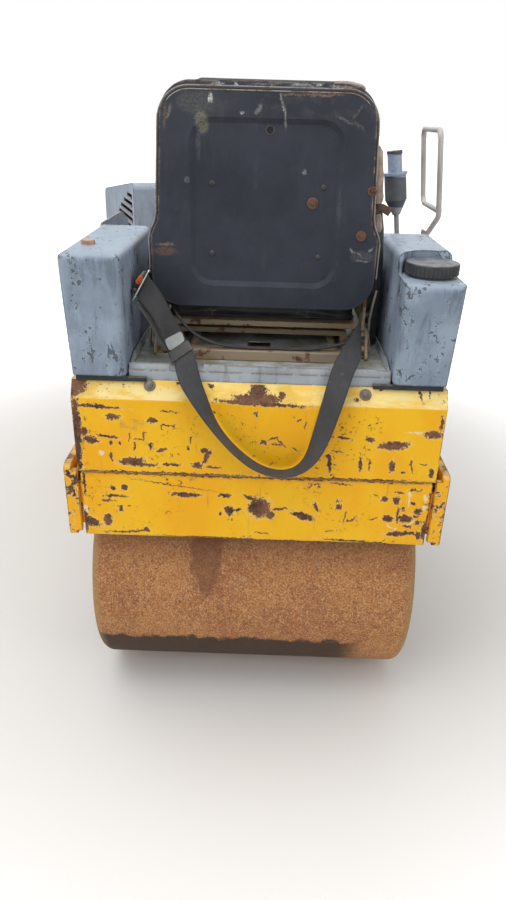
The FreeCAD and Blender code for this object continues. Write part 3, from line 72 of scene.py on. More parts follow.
def make_camera():
    """The camera behind and above the roller, as the photo was taken."""
    pitch, yaw, roll = math.radians(26.357), math.radians(0.594), math.radians(1.652)
    ahead = Vector((-math.sin(yaw) * math.cos(pitch), math.cos(yaw) * math.cos(pitch), -math.sin(pitch)))
    right = Vector((math.cos(yaw), math.sin(yaw), 0))
    up = right.cross(ahead)
    side = right * math.cos(roll) + up * math.sin(roll)
    top = up * math.cos(roll) - right * math.sin(roll)
    turn = Matrix((side, top, -ahead)).transposed().to_4x4()
    data = bpy.data.cameras.new("camera")
    data.lens = 27.166
    data.sensor_width = 36.0
    camera = bpy.data.objects.new("camera", data)
    camera.matrix_world = Matrix.Translation(rear(4.6, -1619.4, 1408.4)) @ turn
    bpy.context.collection.objects.link(camera)
    bpy.context.scene.camera = camera


def make_softbox(name, place, aim, size, power):
    """A wide soft lamp that faces a point."""
    data = bpy.data.lights.new(name, "AREA")
    data.shape = "DISK"
    data.size = size
    data.energy = power
    lamp = bpy.data.objects.new(name, data)
    lamp.location = place
    lamp.rotation_euler = (Vector(aim) - Vector(place)).to_track_quat("-Z", "Y").to_euler()
    bpy.context.collection.objects.link(lamp)


# Node work


def add(tree, kind, settings=None, **inputs):
    """One more node, with its settings and inputs."""
    made = tree.nodes.new("ShaderNode" + kind)
    for name, value in (settings or {}).items():
        setattr(made, name, value)
    for name, value in inputs.items():
        feed(tree, value, made.inputs[name.replace("_", " ")])
    return made


def feed(tree, value, socket):
    """A number, colour or another node's output into a socket."""
    if isinstance(value, bpy.types.NodeSocket):
        tree.links.new(value, socket)
    elif isinstance(value, tuple) and socket.type == "RGBA":
        socket.default_value = (*value, 1.0)[:4]
    else:
        socket.default_value = value


def sums(tree, operation, *values, clamp=False):
    """A sum on one to three values."""
    made = add(tree, "Math", {"operation": operation, "use_clamp": clamp})
    for socket, value in zip(made.inputs, values):
        feed(tree, value, socket)
    return made.outputs[0]


def vectors(tree, operation, *values):
    """A sum on vectors."""
    made = add(tree, "VectorMath", {"operation": operation})
    for socket, value in zip(made.inputs, values):
        feed(tree, value, socket)
    return made.outputs["Value" if operation in ("LENGTH", "DOT_PRODUCT", "DISTANCE") else "Vector"]


def tint(tree, share, under, over, way="MIX"):
    """One colour over another by a share."""
    made = add(tree, "Mix", {"data_type": "RGBA", "blend_type": way})
    feed(tree, share, made.inputs[0])
    feed(tree, under, made.inputs[6])
    feed(tree, over, made.inputs[7])
    return made.outputs[2]


def between(tree, share, low, high):
    """A number between two others by a share."""
    made = add(tree, "Mix", {"data_type": "FLOAT"})
    feed(tree, share, made.inputs[0])
    feed(tree, low, made.inputs[2])
    feed(tree, high, made.inputs[3])
    return made.outputs[0]


def step(tree, value, low, high, start=0.0, end=1.0):
    """A soft step as a value goes from low to high."""
    made = add(tree, "MapRange", {"interpolation_type": "SMOOTHSTEP"})
    for socket, number in zip(made.inputs, (value, low, high, start, end)):
        feed(tree, number, socket)
    return made.outputs[0]


def cloud(tree, vector, scale, detail=4.0, rough=0.55, twist=0.0):
    """Soft noise, 0 to 1."""
    return add(tree, "TexNoise", Vector=vector, Scale=scale, Detail=detail, Roughness=rough, Distortion=twist).outputs["Fac"]


def stretched(tree, vector, x, y, z):
    """Coordinates stretched along each axis."""
    return add(tree, "Mapping", Vector=vector, Scale=(x, y, z)).outputs[0]


def own_places(tree):
    """The piece's own coordinates, in metres."""
    return add(tree, "TexCoord").outputs["Object"]


def parts_of(tree, vector):
    """A vector's X, Y and Z."""
    made = add(tree, "SeparateXYZ", Vector=vector)
    return made.outputs[0], made.outputs[1], made.outputs[2]


def facing(tree):
    """The surface's direction."""
    return add(tree, "NewGeometry").outputs["Normal"]


KINDS = {"Vector": "NodeSocketVector", "Colour": "NodeSocketColor"}


def new_group(name, takes, gives):
    """An empty node group with named inputs and outputs."""
    tree = bpy.data.node_groups.new(name, "ShaderNodeTree")
    for word, value in takes.items():
        socket = tree.interface.new_socket(name=word, in_out="INPUT", socket_type=KINDS.get(word.split()[0], "NodeSocketFloat"))
        if value is not None:
            socket.default_value = value
    for word in gives:
        tree.interface.new_socket(name=word, in_out="OUTPUT", socket_type=KINDS.get(word.split()[0], "NodeSocketFloat"))
    inside = tree.nodes.new("NodeGroupInput").outputs
    out = tree.nodes.new("NodeGroupOutput").inputs
    return tree, inside, out


def use(tree, group, **inputs):
    """A node group placed in a material, with its own values."""
    made = tree.nodes.new("ShaderNodeGroup")
    made.node_tree = group
    for name, value in inputs.items():
        feed(tree, value, made.inputs[name.replace("_", " ")])
    return made.outputs


def make_edge_wear():
    """Where paint has gone along the edges: the bend of the surface, broken up."""
    tree, take, give = new_group("edge wear", {"Vector": None, "Width": 0.004, "Breaks": 60.0}, ["Edge"])
    rounded = add(tree, "Bevel", {"samples": 4}, Radius=take["Width"]).outputs[0]
    bend = sums(tree, "SUBTRACT", 1.0, vectors(tree, "DOT_PRODUCT", rounded, facing(tree)))
    rough = cloud(tree, take["Vector"], take["Breaks"], 5.0, 0.65)
    worn = sums(tree, "MULTIPLY", step(tree, bend, 0.01, 0.16), step(tree, rough, 0.30, 0.62))
    feed(tree, worn, give["Edge"])
    return tree


def make_chips():
    """Flakes of lost paint, with the pale rim of the coat round each."""
    tree, take, give = new_group("paint chips", {"Vector": None, "Scale": 30.0, "Amount": 0.2, "Edge": 0.0}, ["Chip", "Rim"])
    big = cloud(tree, take["Vector"], take["Scale"], 5.0, 0.62, 0.4)
    small = cloud(tree, take["Vector"], sums(tree, "MULTIPLY", take["Scale"], 6.0), 3.0, 0.6)
    level = sums(tree, "ADD", sums(tree, "MULTIPLY", big, 0.72), sums(tree, "MULTIPLY", small, 0.28))
    level = sums(tree, "ADD", level, sums(tree, "MULTIPLY", take["Edge"], 0.42))
    bar = sums(tree, "SUBTRACT", 0.78, sums(tree, "MULTIPLY", take["Amount"], 0.32))
    chip = step(tree, level, bar, sums(tree, "ADD", bar, 0.012))
    wide = step(tree, level, sums(tree, "SUBTRACT", bar, 0.022), sums(tree, "SUBTRACT", bar, 0.008))
    feed(tree, chip, give["Chip"])
    feed(tree, sums(tree, "SUBTRACT", wide, chip, clamp=True), give["Rim"])
    return tree


def make_rust():
    """Rusty steel: dark brown with lighter and more orange bloom."""
    tree, take, give = new_group("rust", {"Vector": None, "Scale": 40.0, "Orange": 0.4}, ["Colour", "Height"])
    broad = cloud(tree, take["Vector"], take["Scale"], 6.0, 0.7)
    fine = cloud(tree, take["Vector"], sums(tree, "MULTIPLY", take["Scale"], 9.0), 4.0, 0.7)
    brown = tint(tree, step(tree, broad, 0.35, 0.68), (0.060, 0.027, 0.020), (0.215, 0.105, 0.062))
    bloom = sums(tree, "MULTIPLY", step(tree, fine, 0.48, 0.70), take["Orange"])
    feed(tree, tint(tree, bloom, brown, (0.42, 0.165, 0.055)), give["Colour"])
    feed(tree, sums(tree, "ADD", sums(tree, "MULTIPLY", broad, 0.5), sums(tree, "MULTIPLY", fine, 0.5)), give["Height"])
    return tree


def make_dust():
    """Dust and dried mud that settles on what faces up."""
    tree, take, give = new_group("dust", {"Vector": None, "Scale": 12.0, "Amount": 0.5}, ["Dust"])
    up = step(tree, parts_of(tree, facing(tree))[2], 0.45, 0.98)
    patchy = cloud(tree, take["Vector"], take["Scale"], 6.0, 0.65)
    feed(tree, sums(tree, "MULTIPLY", sums(tree, "MULTIPLY", up, step(tree, patchy, 0.30, 0.66)), take["Amount"]), give["Dust"])
    return tree


def make_mark():
    """How far a place is from one mark on a rear face, 1 at the mark's own outline."""
    tree, take, give = new_group("mark", {"Vector": None, "Vector middle": None, "Vector size": None, "Turn": 0.0}, ["Reach"])
    away = vectors(tree, "SUBTRACT", take["Vector"], take["Vector middle"])
    turned = add(tree, "VectorRotate", {"rotation_type": "Y_AXIS"}, Vector=away, Angle=take["Turn"]).outputs[0]
    feed(tree, vectors(tree, "LENGTH", vectors(tree, "DIVIDE", turned, take["Vector size"])), give["Reach"])
    return tree


def make_grain():
    """Vinyl and moulded grain: small soft cells."""
    tree, take, give = new_group("grain", {"Vector": None, "Scale": 900.0}, ["Height"])
    cells = add(tree, "TexVoronoi", {"feature": "F1"}, Vector=take["Vector"], Scale=take["Scale"]).outputs["Distance"]
    feed(tree, step(tree, cells, 0.1, 0.6), give["Height"])
    return tree


def make_weave():
    """Seat-belt webbing: ribs along the strap with picks across them, from the strap's own map in metres."""
    tree, take, give = new_group("weave", {"Vector": None, "Width": 0.048}, ["Height", "Selvedge"])
    across, along, _ = parts_of(tree, take["Vector"])
    ribs = sums(tree, "SINE", sums(tree, "MULTIPLY", across, 2 * math.pi / 0.0024))
    picks = sums(tree, "SINE", sums(tree, "ADD", sums(tree, "MULTIPLY", along, 2 * math.pi / 0.0016), sums(tree, "MULTIPLY", ribs, 1.4)))
    feed(tree, sums(tree, "ADD", sums(tree, "MULTIPLY", ribs, 0.3), sums(tree, "MULTIPLY", picks, 0.5)), give["Height"])
    edge = sums(tree, "DIVIDE", sums(tree, "ABSOLUTE", across), take["Width"])
    feed(tree, step(tree, edge, 0.40, 0.46), give["Selvedge"])
    return tree


EDGE_WEAR = make_edge_wear()
CHIPS = make_chips()
RUST = make_rust()
DUST = make_dust()
MARK = make_mark()
GRAIN = make_grain()
WEAVE = make_weave()


def new_finish(name):
    """A material with its node tree cleared to the one shader."""
    material = bpy.data.materials.new(name)
    material.use_nodes = True
    tree = material.node_tree
    shader = tree.nodes["Principled BSDF"]
    return material, tree, shader


def bump(tree, height, depth, strength=1.0, under=None):
    """A bump from a height of 0 to 1, with its depth in metres."""
    made = add(tree, "Bump", Strength=strength, Distance=depth, Height=height)
    if under is not None:
        feed(tree, under, made.inputs["Normal"])
    return made.outputs[0]


# Wear marks on the rear face: place, size and turn in millimetres and degrees.
# "r" is rust under lost paint, "w" is pale primer and "s" is a thin smear of dirt.

BODY_MARKS = [
    (-306, 830, 30, 13, 0, "r"), (-224, 823, 21, 12, 0, "r"), (-337, 852, 99, 8, -4, "r"), (-322, 783, 41, 7, -8, "r"),
    (-314, 768, 8, 11, 0, "r"), (-296, 767, 5, 9, 0, "r"), (-273, 783, 3, 21, 0, "r"), (-253, 778, 21, 3, 0, "r"),
    (-243, 787, 3, 19, -10, "r"), (-190, 813, 31, 4, 0, "r"), (-206, 807, 3, 13, 0, "r"), (-176, 811, 3, 11, 0, "r"),
    (-263, 762, 4, 20, 0, "r"), (-228, 762, 7, 18, 10, "r"), (-205, 754, 21, 8, 20, "r"), (-142, 782, 3, 19, -15, "r"),
    (-149, 762, 4, 12, 0, "r"), (-113, 757, 14, 11, 0, "r"), (-108, 741, 9, 37, -25, "r"), (-129, 721, 22, 13, 0, "r"),
    (-93, 717, 33, 6, 0, "r"), (-272, 726, 53, 16, 8, "r"), (-250, 718, 64, 8, 0, "r"), (-188, 720, 42, 7, 0, "r"),
    (-185, 845, 40, 2.5, -6, "r"), (-357, 774, 30, 15, -15, "r"), (-369, 793, 14, 18, 0, "r"), (-315, 734, 6, 19, 10, "r"),
    (-335, 743, 14, 10, 20, "w"), (-386, 780, 15, 170, 0, "r"), (-215, 699, 360, 4, 0, "r"), (205, 699, 330, 3, 0, "r"), (-263, 812, 43, 18, 0, "s"), (-384, 811, 16, 125, 0, "r"), (-5, 845, 7, 12, 0, "r"),
    (99, 823, 3, 19, -10, "r"), (14, 781, 14, 10, 0, "r"), (30, 790, 31, 3.5, 25, "r"), (51, 781, 31, 3.5, -42, "r"),
    (44, 776, 26, 3.5, -8, "r"), (82, 767, 23, 3.5, -30, "r"), (181, 798, 31, 7, -8, "r"), (172, 765, 23, 3, -10, "r"),
    (241, 795, 13, 14, 20, "r"), (290, 783, 61, 18, 6, "r"), (330, 815, 34, 3, 0, "w"), (371, 811, 42, 16, -8, "r"),
    (156, 737, 9, 42, 8, "r"), (153, 753, 10, 8, 0, "r"), (223, 738, 8, 34, 5, "r"), (244, 735, 3, 29, 0, "r"),
    (292, 733, 12, 28, 0, "r"), (334, 734, 4, 30, 8, "r"), (317, 719, 10, 7, 0, "r"), (359, 741, 17, 4, 0, "r"),
    (379, 721, 10, 20, 0, "r"), (384, 838, 6, 34, 0, "r"), (85, 834, 11, 4, 30, "r"), (75, 842, 4, 4, 0, "r"),
    (-101, 897, 12, 9, 0, "r"), (48, 886, 13, 12, 20, "r"), (203, 882, 9, 8, 0, "r"), (335, 894, 4, 18, 20, "r"),
    (354, 896, 3, 18, 0, "r"), (254, 903, 9, 5, 0, "r"), (311, 903, 8, 5, 0, "r"), (-2, 878, 92, 20, 0, "r"),
    (5, 869, 170, 9, -2, "r"), (-2, 891, 34, 33, 0, "r"), (-167, 902, 8, 8, 0, "r"), (-390, 893, 60, 36, 0, "r"),
]

BUMPER_MARKS = [
    (-318, 654, 13, 11, 0, "r"), (-292, 656, 16, 14, 20, "r"), (-312, 634, 53, 6, 0, "r"), (-335, 622, 22, 6, 8, "r"),
    (-156, 643, 61, 12, 0, "r"), (-180, 666, 181, 2, -8, "r"), (-68, 644, 26, 9, 0, "r"), (-59, 606, 21, 24, 30, "r"),
    (-39, 608, 13, 7, 15, "r"), (-79, 597, 9, 7, 0, "r"), (-335, 571, 19, 29, 0, "r"), (-372, 564, 41, 21, -28, "r"),
    (-383, 598, 12, 24, 30, "w"), (-304, 601, 10, 16, 0, "r"), (-295, 541, 94, 5, 4, "r"), (-247, 547, 11, 15, 30, "r"),
    (-381, 663, 6, 65, 0, "r"), (-386, 565, 12, 55, 0, "r"), (9, 615, 45, 46, 0, "r"), (34, 597, 18, 21, 0, "r"),
    (-10, 639, 33, 10, -25, "r"), (350, 640, 10, 8, 0, "r"), (330, 625, 8, 12, 0, "r"),
    (366, 590, 12, 10, 20, "r"), (345, 580, 20, 6, -20, "r"), (372, 556, 10, 20, 0, "r"), (318, 668, 22, 4, 0, "r"),
    (352, 673, 30, 4, 0, "r"), (375, 630, 8, 14, 0, "w"), (352, 590, 18, 6, 30, "w"), (310, 575, 26, 3, -30, "w"), (56, 615, 33, 7, 8, "r"), (106, 598, 50, 16, -18, "r"), (136, 621, 7, 28, 20, "r"),
    (128, 681, 29, 3, 0, "r"), (121, 676, 3, 17, -10, "r"), (139, 675, 3, 12, 20, "r"), (189, 683, 44, 3, -3, "r"),
    (186, 625, 14, 13, 0, "r"), (200, 598, 3, 32, -14, "r"), (216, 592, 30, 4, 28, "r"), (286, 648, 15, 15, 0, "r"),
    (313, 646, 15, 17, 0, "r"), (266, 658, 18, 3, -35, "r"), (341, 654, 6, 48, 4, "w"), (376, 655, 8, 18, 10, "w"), (0, 690, 740, 2.5, 0, "r"), (90, 529, 480, 3, 0, "r"), (388, 610, 6, 150, 0, "r"),
    (299, 598, 24, 16, -15, "r"), (320, 606, 6, 39, 0, "r"), (338, 600, 33, 18, 0, "r"), (364, 620, 17, 14, 25, "r"),
    (334, 560, 67, 12, 4, "r"), (242, 534, 159, 5, -3, "r"), (382, 570, 9, 43, 0, "r"), (170, 559, 18, 3, 20, "r"),
    (269, 597, 18, 3, 25, "r"), (362, 606, 13, 6, 0, "r"), (16, 549, 34, 3, -8, "r"), (-120, 532, 200, 3, 0, "r"),
]


def marked(tree, places, marks, kind):
    """The share of rust, primer or smear that a table of marks puts on a face."""
    shaken = shaken_places(tree, places, 0.020)
    nearest = None
    for x, z, wide, high, turn, what in marks:
        if what == kind:
            middle = rear(x, -312, z)
            reach = use(tree, MARK, Vector=shaken, Vector_middle=tuple(middle),
                        Vector_size=(wide * MM * 0.55, 0.2, high * MM * 0.55), Turn=math.radians(turn))["Reach"]
            nearest = reach if nearest is None else sums(tree, "MINIMUM", nearest, reach)
    broken = cloud(tree, places, 230.0, 5.0, 0.8)
    nearest = sums(tree, "ADD", nearest, sums(tree, "MULTIPLY", sums(tree, "SUBTRACT", broken, 0.47), 2.2))
    rear_face = step(tree, parts_of(tree, facing(tree))[1], -0.45, -0.65)
    core = sums(tree, "MULTIPLY", step(tree, nearest, 1.06, 0.98), rear_face)
    halo = sums(tree, "MULTIPLY", step(tree, nearest, 1.40, 1.20), rear_face)
    return core, halo


def paint_yellow(name, marks, washed, chips, grime, dark_below=0.0):
    """Amber paint, chalky where it lies flat, chipped to rust along its edges, darker low down."""
    material, tree, shader = new_finish(name)
    places = own_places(tree)
    x, y, z = parts_of(tree, places)
    tone = cloud(tree, stretched(tree, places, 1.0, 1.0, 0.6), 7.0, 5.0, 0.6)
    colour = tint(tree, step(tree, tone, 0.36, 0.66), (0.900, 0.430, 0.003), (0.920, 0.515, 0.010))
    faint = cloud(tree, places, 55.0, 6.0, 0.7)
    colour = tint(tree, step(tree, faint, 0.56, 0.80, 0.0, 0.35), colour, (0.64, 0.34, 0.04))
    if washed:
        low, high = washed
        band = step(tree, z, low - 0.0015, low + 0.0015)
        cloudy = cloud(tree, stretched(tree, places, 0.5, 1.0, 1.6), 22.0, 5.0, 0.6)
        pale = tint(tree, step(tree, cloudy, 0.38, 0.62), (0.90, 0.55, 0.06), (0.92, 0.68, 0.20))
        chalk = step(tree, z, high + 0.01, low, 0.05, 0.65)
        pale = tint(tree, sums(tree, "MULTIPLY", chalk, step(tree, cloudy, 0.36, 0.60)), pale, (0.94, 0.80, 0.42))
        deep = cloud(tree, stretched(tree, places, 0.7, 1.0, 1.0), 11.0, 3.0, 0.5)
        pale = tint(tree, step(tree, deep, 0.50, 0.58, 0.0, 0.9), pale, (0.76, 0.47, 0.04))
        colour = tint(tree, band, colour, pale)
    up = step(tree, parts_of(tree, facing(tree))[2], 0.35, 0.9)
    bleach = cloud(tree, places, 18.0, 5.0, 0.6)
    colour = tint(tree, sums(tree, "MULTIPLY", up, step(tree, bleach, 0.3, 0.7, 0.25, 0.8)), colour, (0.86, 0.66, 0.30))
    edge = use(tree, EDGE_WEAR, Vector=places, Width=0.005, Breaks=45.0)["Edge"]
    flakes = use(tree, CHIPS, Vector=places, Scale=34.0, Amount=chips, Edge=edge)
    specks = use(tree, CHIPS, Vector=places, Scale=120.0, Amount=0.60, Edge=0.0)
    patches = cloud(tree, places, 8.0, 3.0, 0.5)
    speck = sums(tree, "MULTIPLY", specks["Chip"], step(tree, patches, 0.48, 0.60))
    lost, rim = sums(tree, "MAXIMUM", flakes["Chip"], speck), flakes["Rim"]
    if marks:
        worn, halo = marked(tree, places, marks, "r")
        lost = sums(tree, "MAXIMUM", lost, worn)
        colour = tint(tree, sums(tree, "MULTIPLY", halo, 0.45), colour, (0.88, 0.66, 0.28))
        primer = marked(tree, places, marks, "w")[0]
        colour = tint(tree, sums(tree, "MULTIPLY", primer, 0.7), colour, (0.80, 0.74, 0.56))
        if any(mark[5] == "s" for mark in marks):
            smear = marked(tree, places, marks, "s")[1]
            colour = tint(tree, sums(tree, "MULTIPLY", smear, step(tree, faint, 0.40, 0.60, 0.0, 0.5)), colour, (0.32, 0.25, 0.09))
    colour = tint(tree, sums(tree, "MULTIPLY", rim, 0.65), colour, (0.88, 0.72, 0.40))
    runs = cloud(tree, stretched(tree, places, 1.0, 1.0, 0.06), 120.0, 3.0, 0.6)
    drip = sums(tree, "MULTIPLY", step(tree, runs, 0.60, 0.75), step(tree, cloud(tree, places, 9.0), 0.48, 0.62, 0.0, 0.5))
    colour = tint(tree, drip, colour, (0.45, 0.20, 0.05))
    rust = use(tree, RUST, Vector=places, Scale=26.0, Orange=0.35)
    colour = tint(tree, lost, colour, rust["Colour"])
    mud = use(tree, DUST, Vector=places, Scale=16.0, Amount=grime)["Dust"]
    colour = tint(tree, mud, colour, (0.30, 0.22, 0.13))
    # Darker towards the bottom, below a ragged height.
    if dark_below:
        climb = sums(tree, "ADD", z, sums(tree, "MULTIPLY", sums(tree, "SUBTRACT", cloud(tree, places, 14.0, 6.0, 0.7), 0.5), 0.5))
        low_darkening = step(tree, climb, dark_below + 0.06, dark_below - 0.06, 0.0, 0.9)
        colour = tint(tree, low_darkening, colour, tint(tree, step(tree, faint, 0.4, 0.6), (0.055, 0.035, 0.024), (0.16, 0.085, 0.045)))
    feed(tree, colour, shader.inputs["Base Color"])
    shader.inputs["Specular IOR Level"].default_value = 0.3
    gloss = between(tree, step(tree, tone, 0.3, 0.7), 0.38, 0.54)
    feed(tree, between(tree, sums(tree, "MAXIMUM", lost, mud), gloss, 0.9), shader.inputs["Roughness"])
    skin = sums(tree, "SUBTRACT", sums(tree, "MULTIPLY", sums(tree, "MULTIPLY", rust["Height"], lost), 0.7), lost)
    under = bump(tree, cloud(tree, places, 260.0, 3.0), 0.0004, 0.35)
    feed(tree, bump(tree, skin, 0.0012, 0.8, under), shader.inputs["Normal"])
    return material


def paint_grey(name, light, dark, pale, smudges, dirt, chips=0.22, under_coat=None):
    """Blue-grey paint with dark smudges where hands and boots have been, over rust or an undercoat's colour, with a
    painted highlight on its upward faces.
    """
    material, tree, shader = new_finish(name)
    places = own_places(tree)
    tone = cloud(tree, places, 9.0, 6.0, 0.62)
    colour = tint(tree, step(tree, tone, 0.34, 0.66), dark, light)
    brushed = cloud(tree, stretched(tree, places, 1.0, 1.0, 0.22), 38.0, 6.0, 0.7, 0.6)
    colour = tint(tree, step(tree, brushed, 0.54, 0.72, 0.0, 0.5), colour, pale)
    colour = tint(tree, step(tree, brushed, 0.48, 0.30, 0.0, 0.75), colour, tuple(c * 0.5 for c in dark))
    # Painted highlight: faces that point up are turned paler.
    up = step(tree, parts_of(tree, facing(tree))[2], 0.30, 0.9)
    colour = tint(tree, sums(tree, "MULTIPLY", up, 0.55), colour, pale)
    edge = use(tree, EDGE_WEAR, Vector=places, Width=0.006, Breaks=40.0)["Edge"]
    scuff = use(tree, CHIPS, Vector=stretched(tree, places, 1.0, 1.0, 0.7), Scale=26.0, Amount=smudges, Edge=edge)
    colour = tint(tree, sums(tree, "MULTIPLY", scuff["Chip"], 0.80), colour, (0.055, 0.062, 0.075))
    colour = tint(tree, sums(tree, "MULTIPLY", scuff["Rim"], 0.35), colour, pale)
    flakes = use(tree, CHIPS, Vector=places, Scale=70.0, Amount=chips, Edge=edge)
    rust = use(tree, RUST, Vector=places, Scale=40.0, Orange=0.5)
    colour = tint(tree, flakes["Chip"], colour, under_coat or rust["Colour"])
    mud = use(tree, DUST, Vector=places, Scale=14.0, Amount=dirt)["Dust"]
    colour = tint(tree, mud, colour, (0.20, 0.17, 0.105))
    feed(tree, colour, shader.inputs["Base Color"])
    rough = between(tree, step(tree, brushed, 0.3, 0.7), 0.42, 0.62)
    feed(tree, between(tree, sums(tree, "MAXIMUM", flakes["Chip"], mud), rough, 0.88), shader.inputs["Roughness"])
    under = bump(tree, brushed, 0.0006, 0.4)
    feed(tree, bump(tree, flakes["Chip"], -0.0007, 0.7, under), shader.inputs["Normal"])
    return material


def drum_rust(name, axle, way):
    """A rolled steel drum, brown with rust, scored round its way of rolling, with painted shade on its upper rear
    quarter under the bumper.
    """
    material, tree, shader = new_finish(name)
    places = own_places(tree)
    from_axle = add(tree, "Mapping", {"vector_type": "TEXTURE"}, Vector=places, Location=tuple(axle), Rotation=(0, 0, way)).outputs[0]
    x, y, z = parts_of(tree, from_axle)
    round_it = sums(tree, "ARCTAN2", z, sums(tree, "MULTIPLY", y, -1.0))
    rolled = add(tree, "CombineXYZ", X=x, Y=sums(tree, "MULTIPLY", round_it, 0.29), Z=0.0).outputs[0]
    speck = cloud(tree, from_axle, 230.0, 3.0, 0.65)
    worm = cloud(tree, from_axle, 125.0, 3.0, 0.6, 2.2)
    broad = cloud(tree, from_axle, 5.5, 5.0, 0.6)
    score = cloud(tree, stretched(tree, rolled, 1.0, 0.05, 1.0), 330.0, 3.0, 0.6)
    colour = tint(tree, step(tree, broad, 0.35, 0.65), (0.370, 0.145, 0.055), (0.50, 0.225, 0.078))
    blotch = cloud(tree, from_axle, 38.0, 4.0, 0.6)
    colour = tint(tree, step(tree, blotch, 0.50, 0.64, 0.0, 0.45), colour, (0.60, 0.33, 0.13))
    colour = tint(tree, step(tree, worm, 0.52, 0.42, 0.0, 0.72), colour, (0.165, 0.062, 0.036))
    colour = tint(tree, step(tree, speck, 0.52, 0.62, 0.0, 0.65), colour, (0.68, 0.40, 0.17))
    colour = tint(tree, step(tree, speck, 0.42, 0.32, 0.0, 0.60), colour, (0.12, 0.045, 0.030))
    colour = tint(tree, step(tree, score, 0.55, 0.70, 0.0, 0.35), colour, (0.50, 0.33, 0.21))
    colour = tint(tree, step(tree, score, 0.45, 0.32, 0.0, 0.35), colour, (0.20, 0.085, 0.045))
    # Painted shade: the scored band on the drum's upper rear quarter, under the bumper, is darkened.
    shade = step(tree, round_it, 0.35, 0.75, 0.0, 0.5)
    colour = tint(tree, sums(tree, "MULTIPLY", shade, step(tree, score, 0.35, 0.6)), colour, (0.20, 0.13, 0.10))
    ragged = sums(tree, "ADD", x, sums(tree, "MULTIPLY", sums(tree, "SUBTRACT", cloud(tree, rolled, 28.0, 4.0), 0.5), 0.05))
    off = sums(tree, "ABSOLUTE", sums(tree, "ADD", ragged, 0.115))
    wide = step(tree, round_it, 0.10, 0.55, 0.012, 0.036)
    stain = sums(tree, "MULTIPLY", step(tree, sums(tree, "SUBTRACT", off, wide), 0.010, -0.006), step(tree, round_it, 0.10, 0.26))
    stain = sums(tree, "MULTIPLY", stain, step(tree, round_it, 1.6, 1.2, 0.0, 0.72))
    colour = tint(tree, sums(tree, "MULTIPLY", stain, 0.9), colour, (0.150, 0.064, 0.036))
    rise = sums(tree, "MULTIPLY", sums(tree, "SUBTRACT", cloud(tree, rolled, 16.0, 5.0, 0.7), 0.5), 0.35)
    low = step(tree, sums(tree, "ADD", round_it, rise), -0.27, -0.33)
    low = sums(tree, "MULTIPLY", low, step(tree, sums(tree, "ADD", round_it, rise), -1.15, -0.95))
    low = sums(tree, "MULTIPLY", low, step(tree, x, 0.30, 0.22))
    colour = tint(tree, sums(tree, "MULTIPLY", low, 0.93), colour, (0.040, 0.027, 0.020))
    end = step(tree, sums(tree, "ABSOLUTE", x), 0.368, 0.398)
    colour = tint(tree, sums(tree, "MULTIPLY", end, 0.65), colour, (0.34, 0.235, 0.095))
    feed(tree, colour, shader.inputs["Base Color"])
    feed(tree, between(tree, speck, 0.62, 0.95), shader.inputs["Roughness"])
    shader.inputs["Specular IOR Level"].default_value = 0.35
    under = bump(tree, speck, 0.0012, 0.7)
    feed(tree, bump(tree, score, 0.0006, 0.5, under), shader.inputs["Normal"])
    return material


def rusty_steel(name, paint, left, orange=0.5, dust=0.4):
    """Old steel: some paint left, rust over the rest, dust on top."""
    material, tree, shader = new_finish(name)
    places = own_places(tree)
    rust = use(tree, RUST, Vector=places, Scale=34.0, Orange=orange)
    edge = use(tree, EDGE_WEAR, Vector=places, Width=0.004, Breaks=60.0)["Edge"]
    keep = cloud(tree, places, 28.0, 6.0, 0.65)
    keep = sums(tree, "SUBTRACT", keep, sums(tree, "MULTIPLY", edge, 0.2))
    share = step(tree, keep, 1.0 - left - 0.02, 1.0 - left + 0.02)
    colour = tint(tree, share, rust["Colour"], paint)
    mud = use(tree, DUST, Vector=places, Scale=20.0, Amount=dust)["Dust"]
    colour = tint(tree, mud, colour, (0.26, 0.21, 0.14))
    feed(tree, colour, shader.inputs["Base Color"])
    feed(tree, between(tree, share, 0.88, 0.55), shader.inputs["Roughness"])
    feed(tree, bump(tree, sums(tree, "ADD", rust["Height"], share), 0.0007, 0.7), shader.inputs["Normal"])
    return material


def bare_metal(name, colour, rough, tarnish, grime=0.2):
    """Plated or polished steel with a little tarnish and fine scratches."""
    material, tree, shader = new_finish(name)
    places = own_places(tree)
    mottled = cloud(tree, places, 70.0, 5.0, 0.65)
    scratch = cloud(tree, stretched(tree, places, 0.15, 1.0, 1.0), 900.0, 2.0)
    rust = use(tree, RUST, Vector=places, Scale=60.0, Orange=0.5)
    spots = step(tree, mottled, 0.62, 0.70, 0.0, tarnish)
    mud = use(tree, DUST, Vector=places, Scale=40.0, Amount=grime)["Dust"]
    feed(tree, tint(tree, mud, tint(tree, spots, colour, rust["Colour"]), (0.25, 0.21, 0.16)), shader.inputs["Base Color"])
    feed(tree, step(tree, sums(tree, "MAXIMUM", spots, mud), 0.1, 0.6, 1.0, 0.0), shader.inputs["Metallic"])
    feed(tree, between(tree, mottled, rough * 0.7, rough * 1.4), shader.inputs["Roughness"])
    feed(tree, bump(tree, scratch, 0.0002, 0.4), shader.inputs["Normal"])
    return material


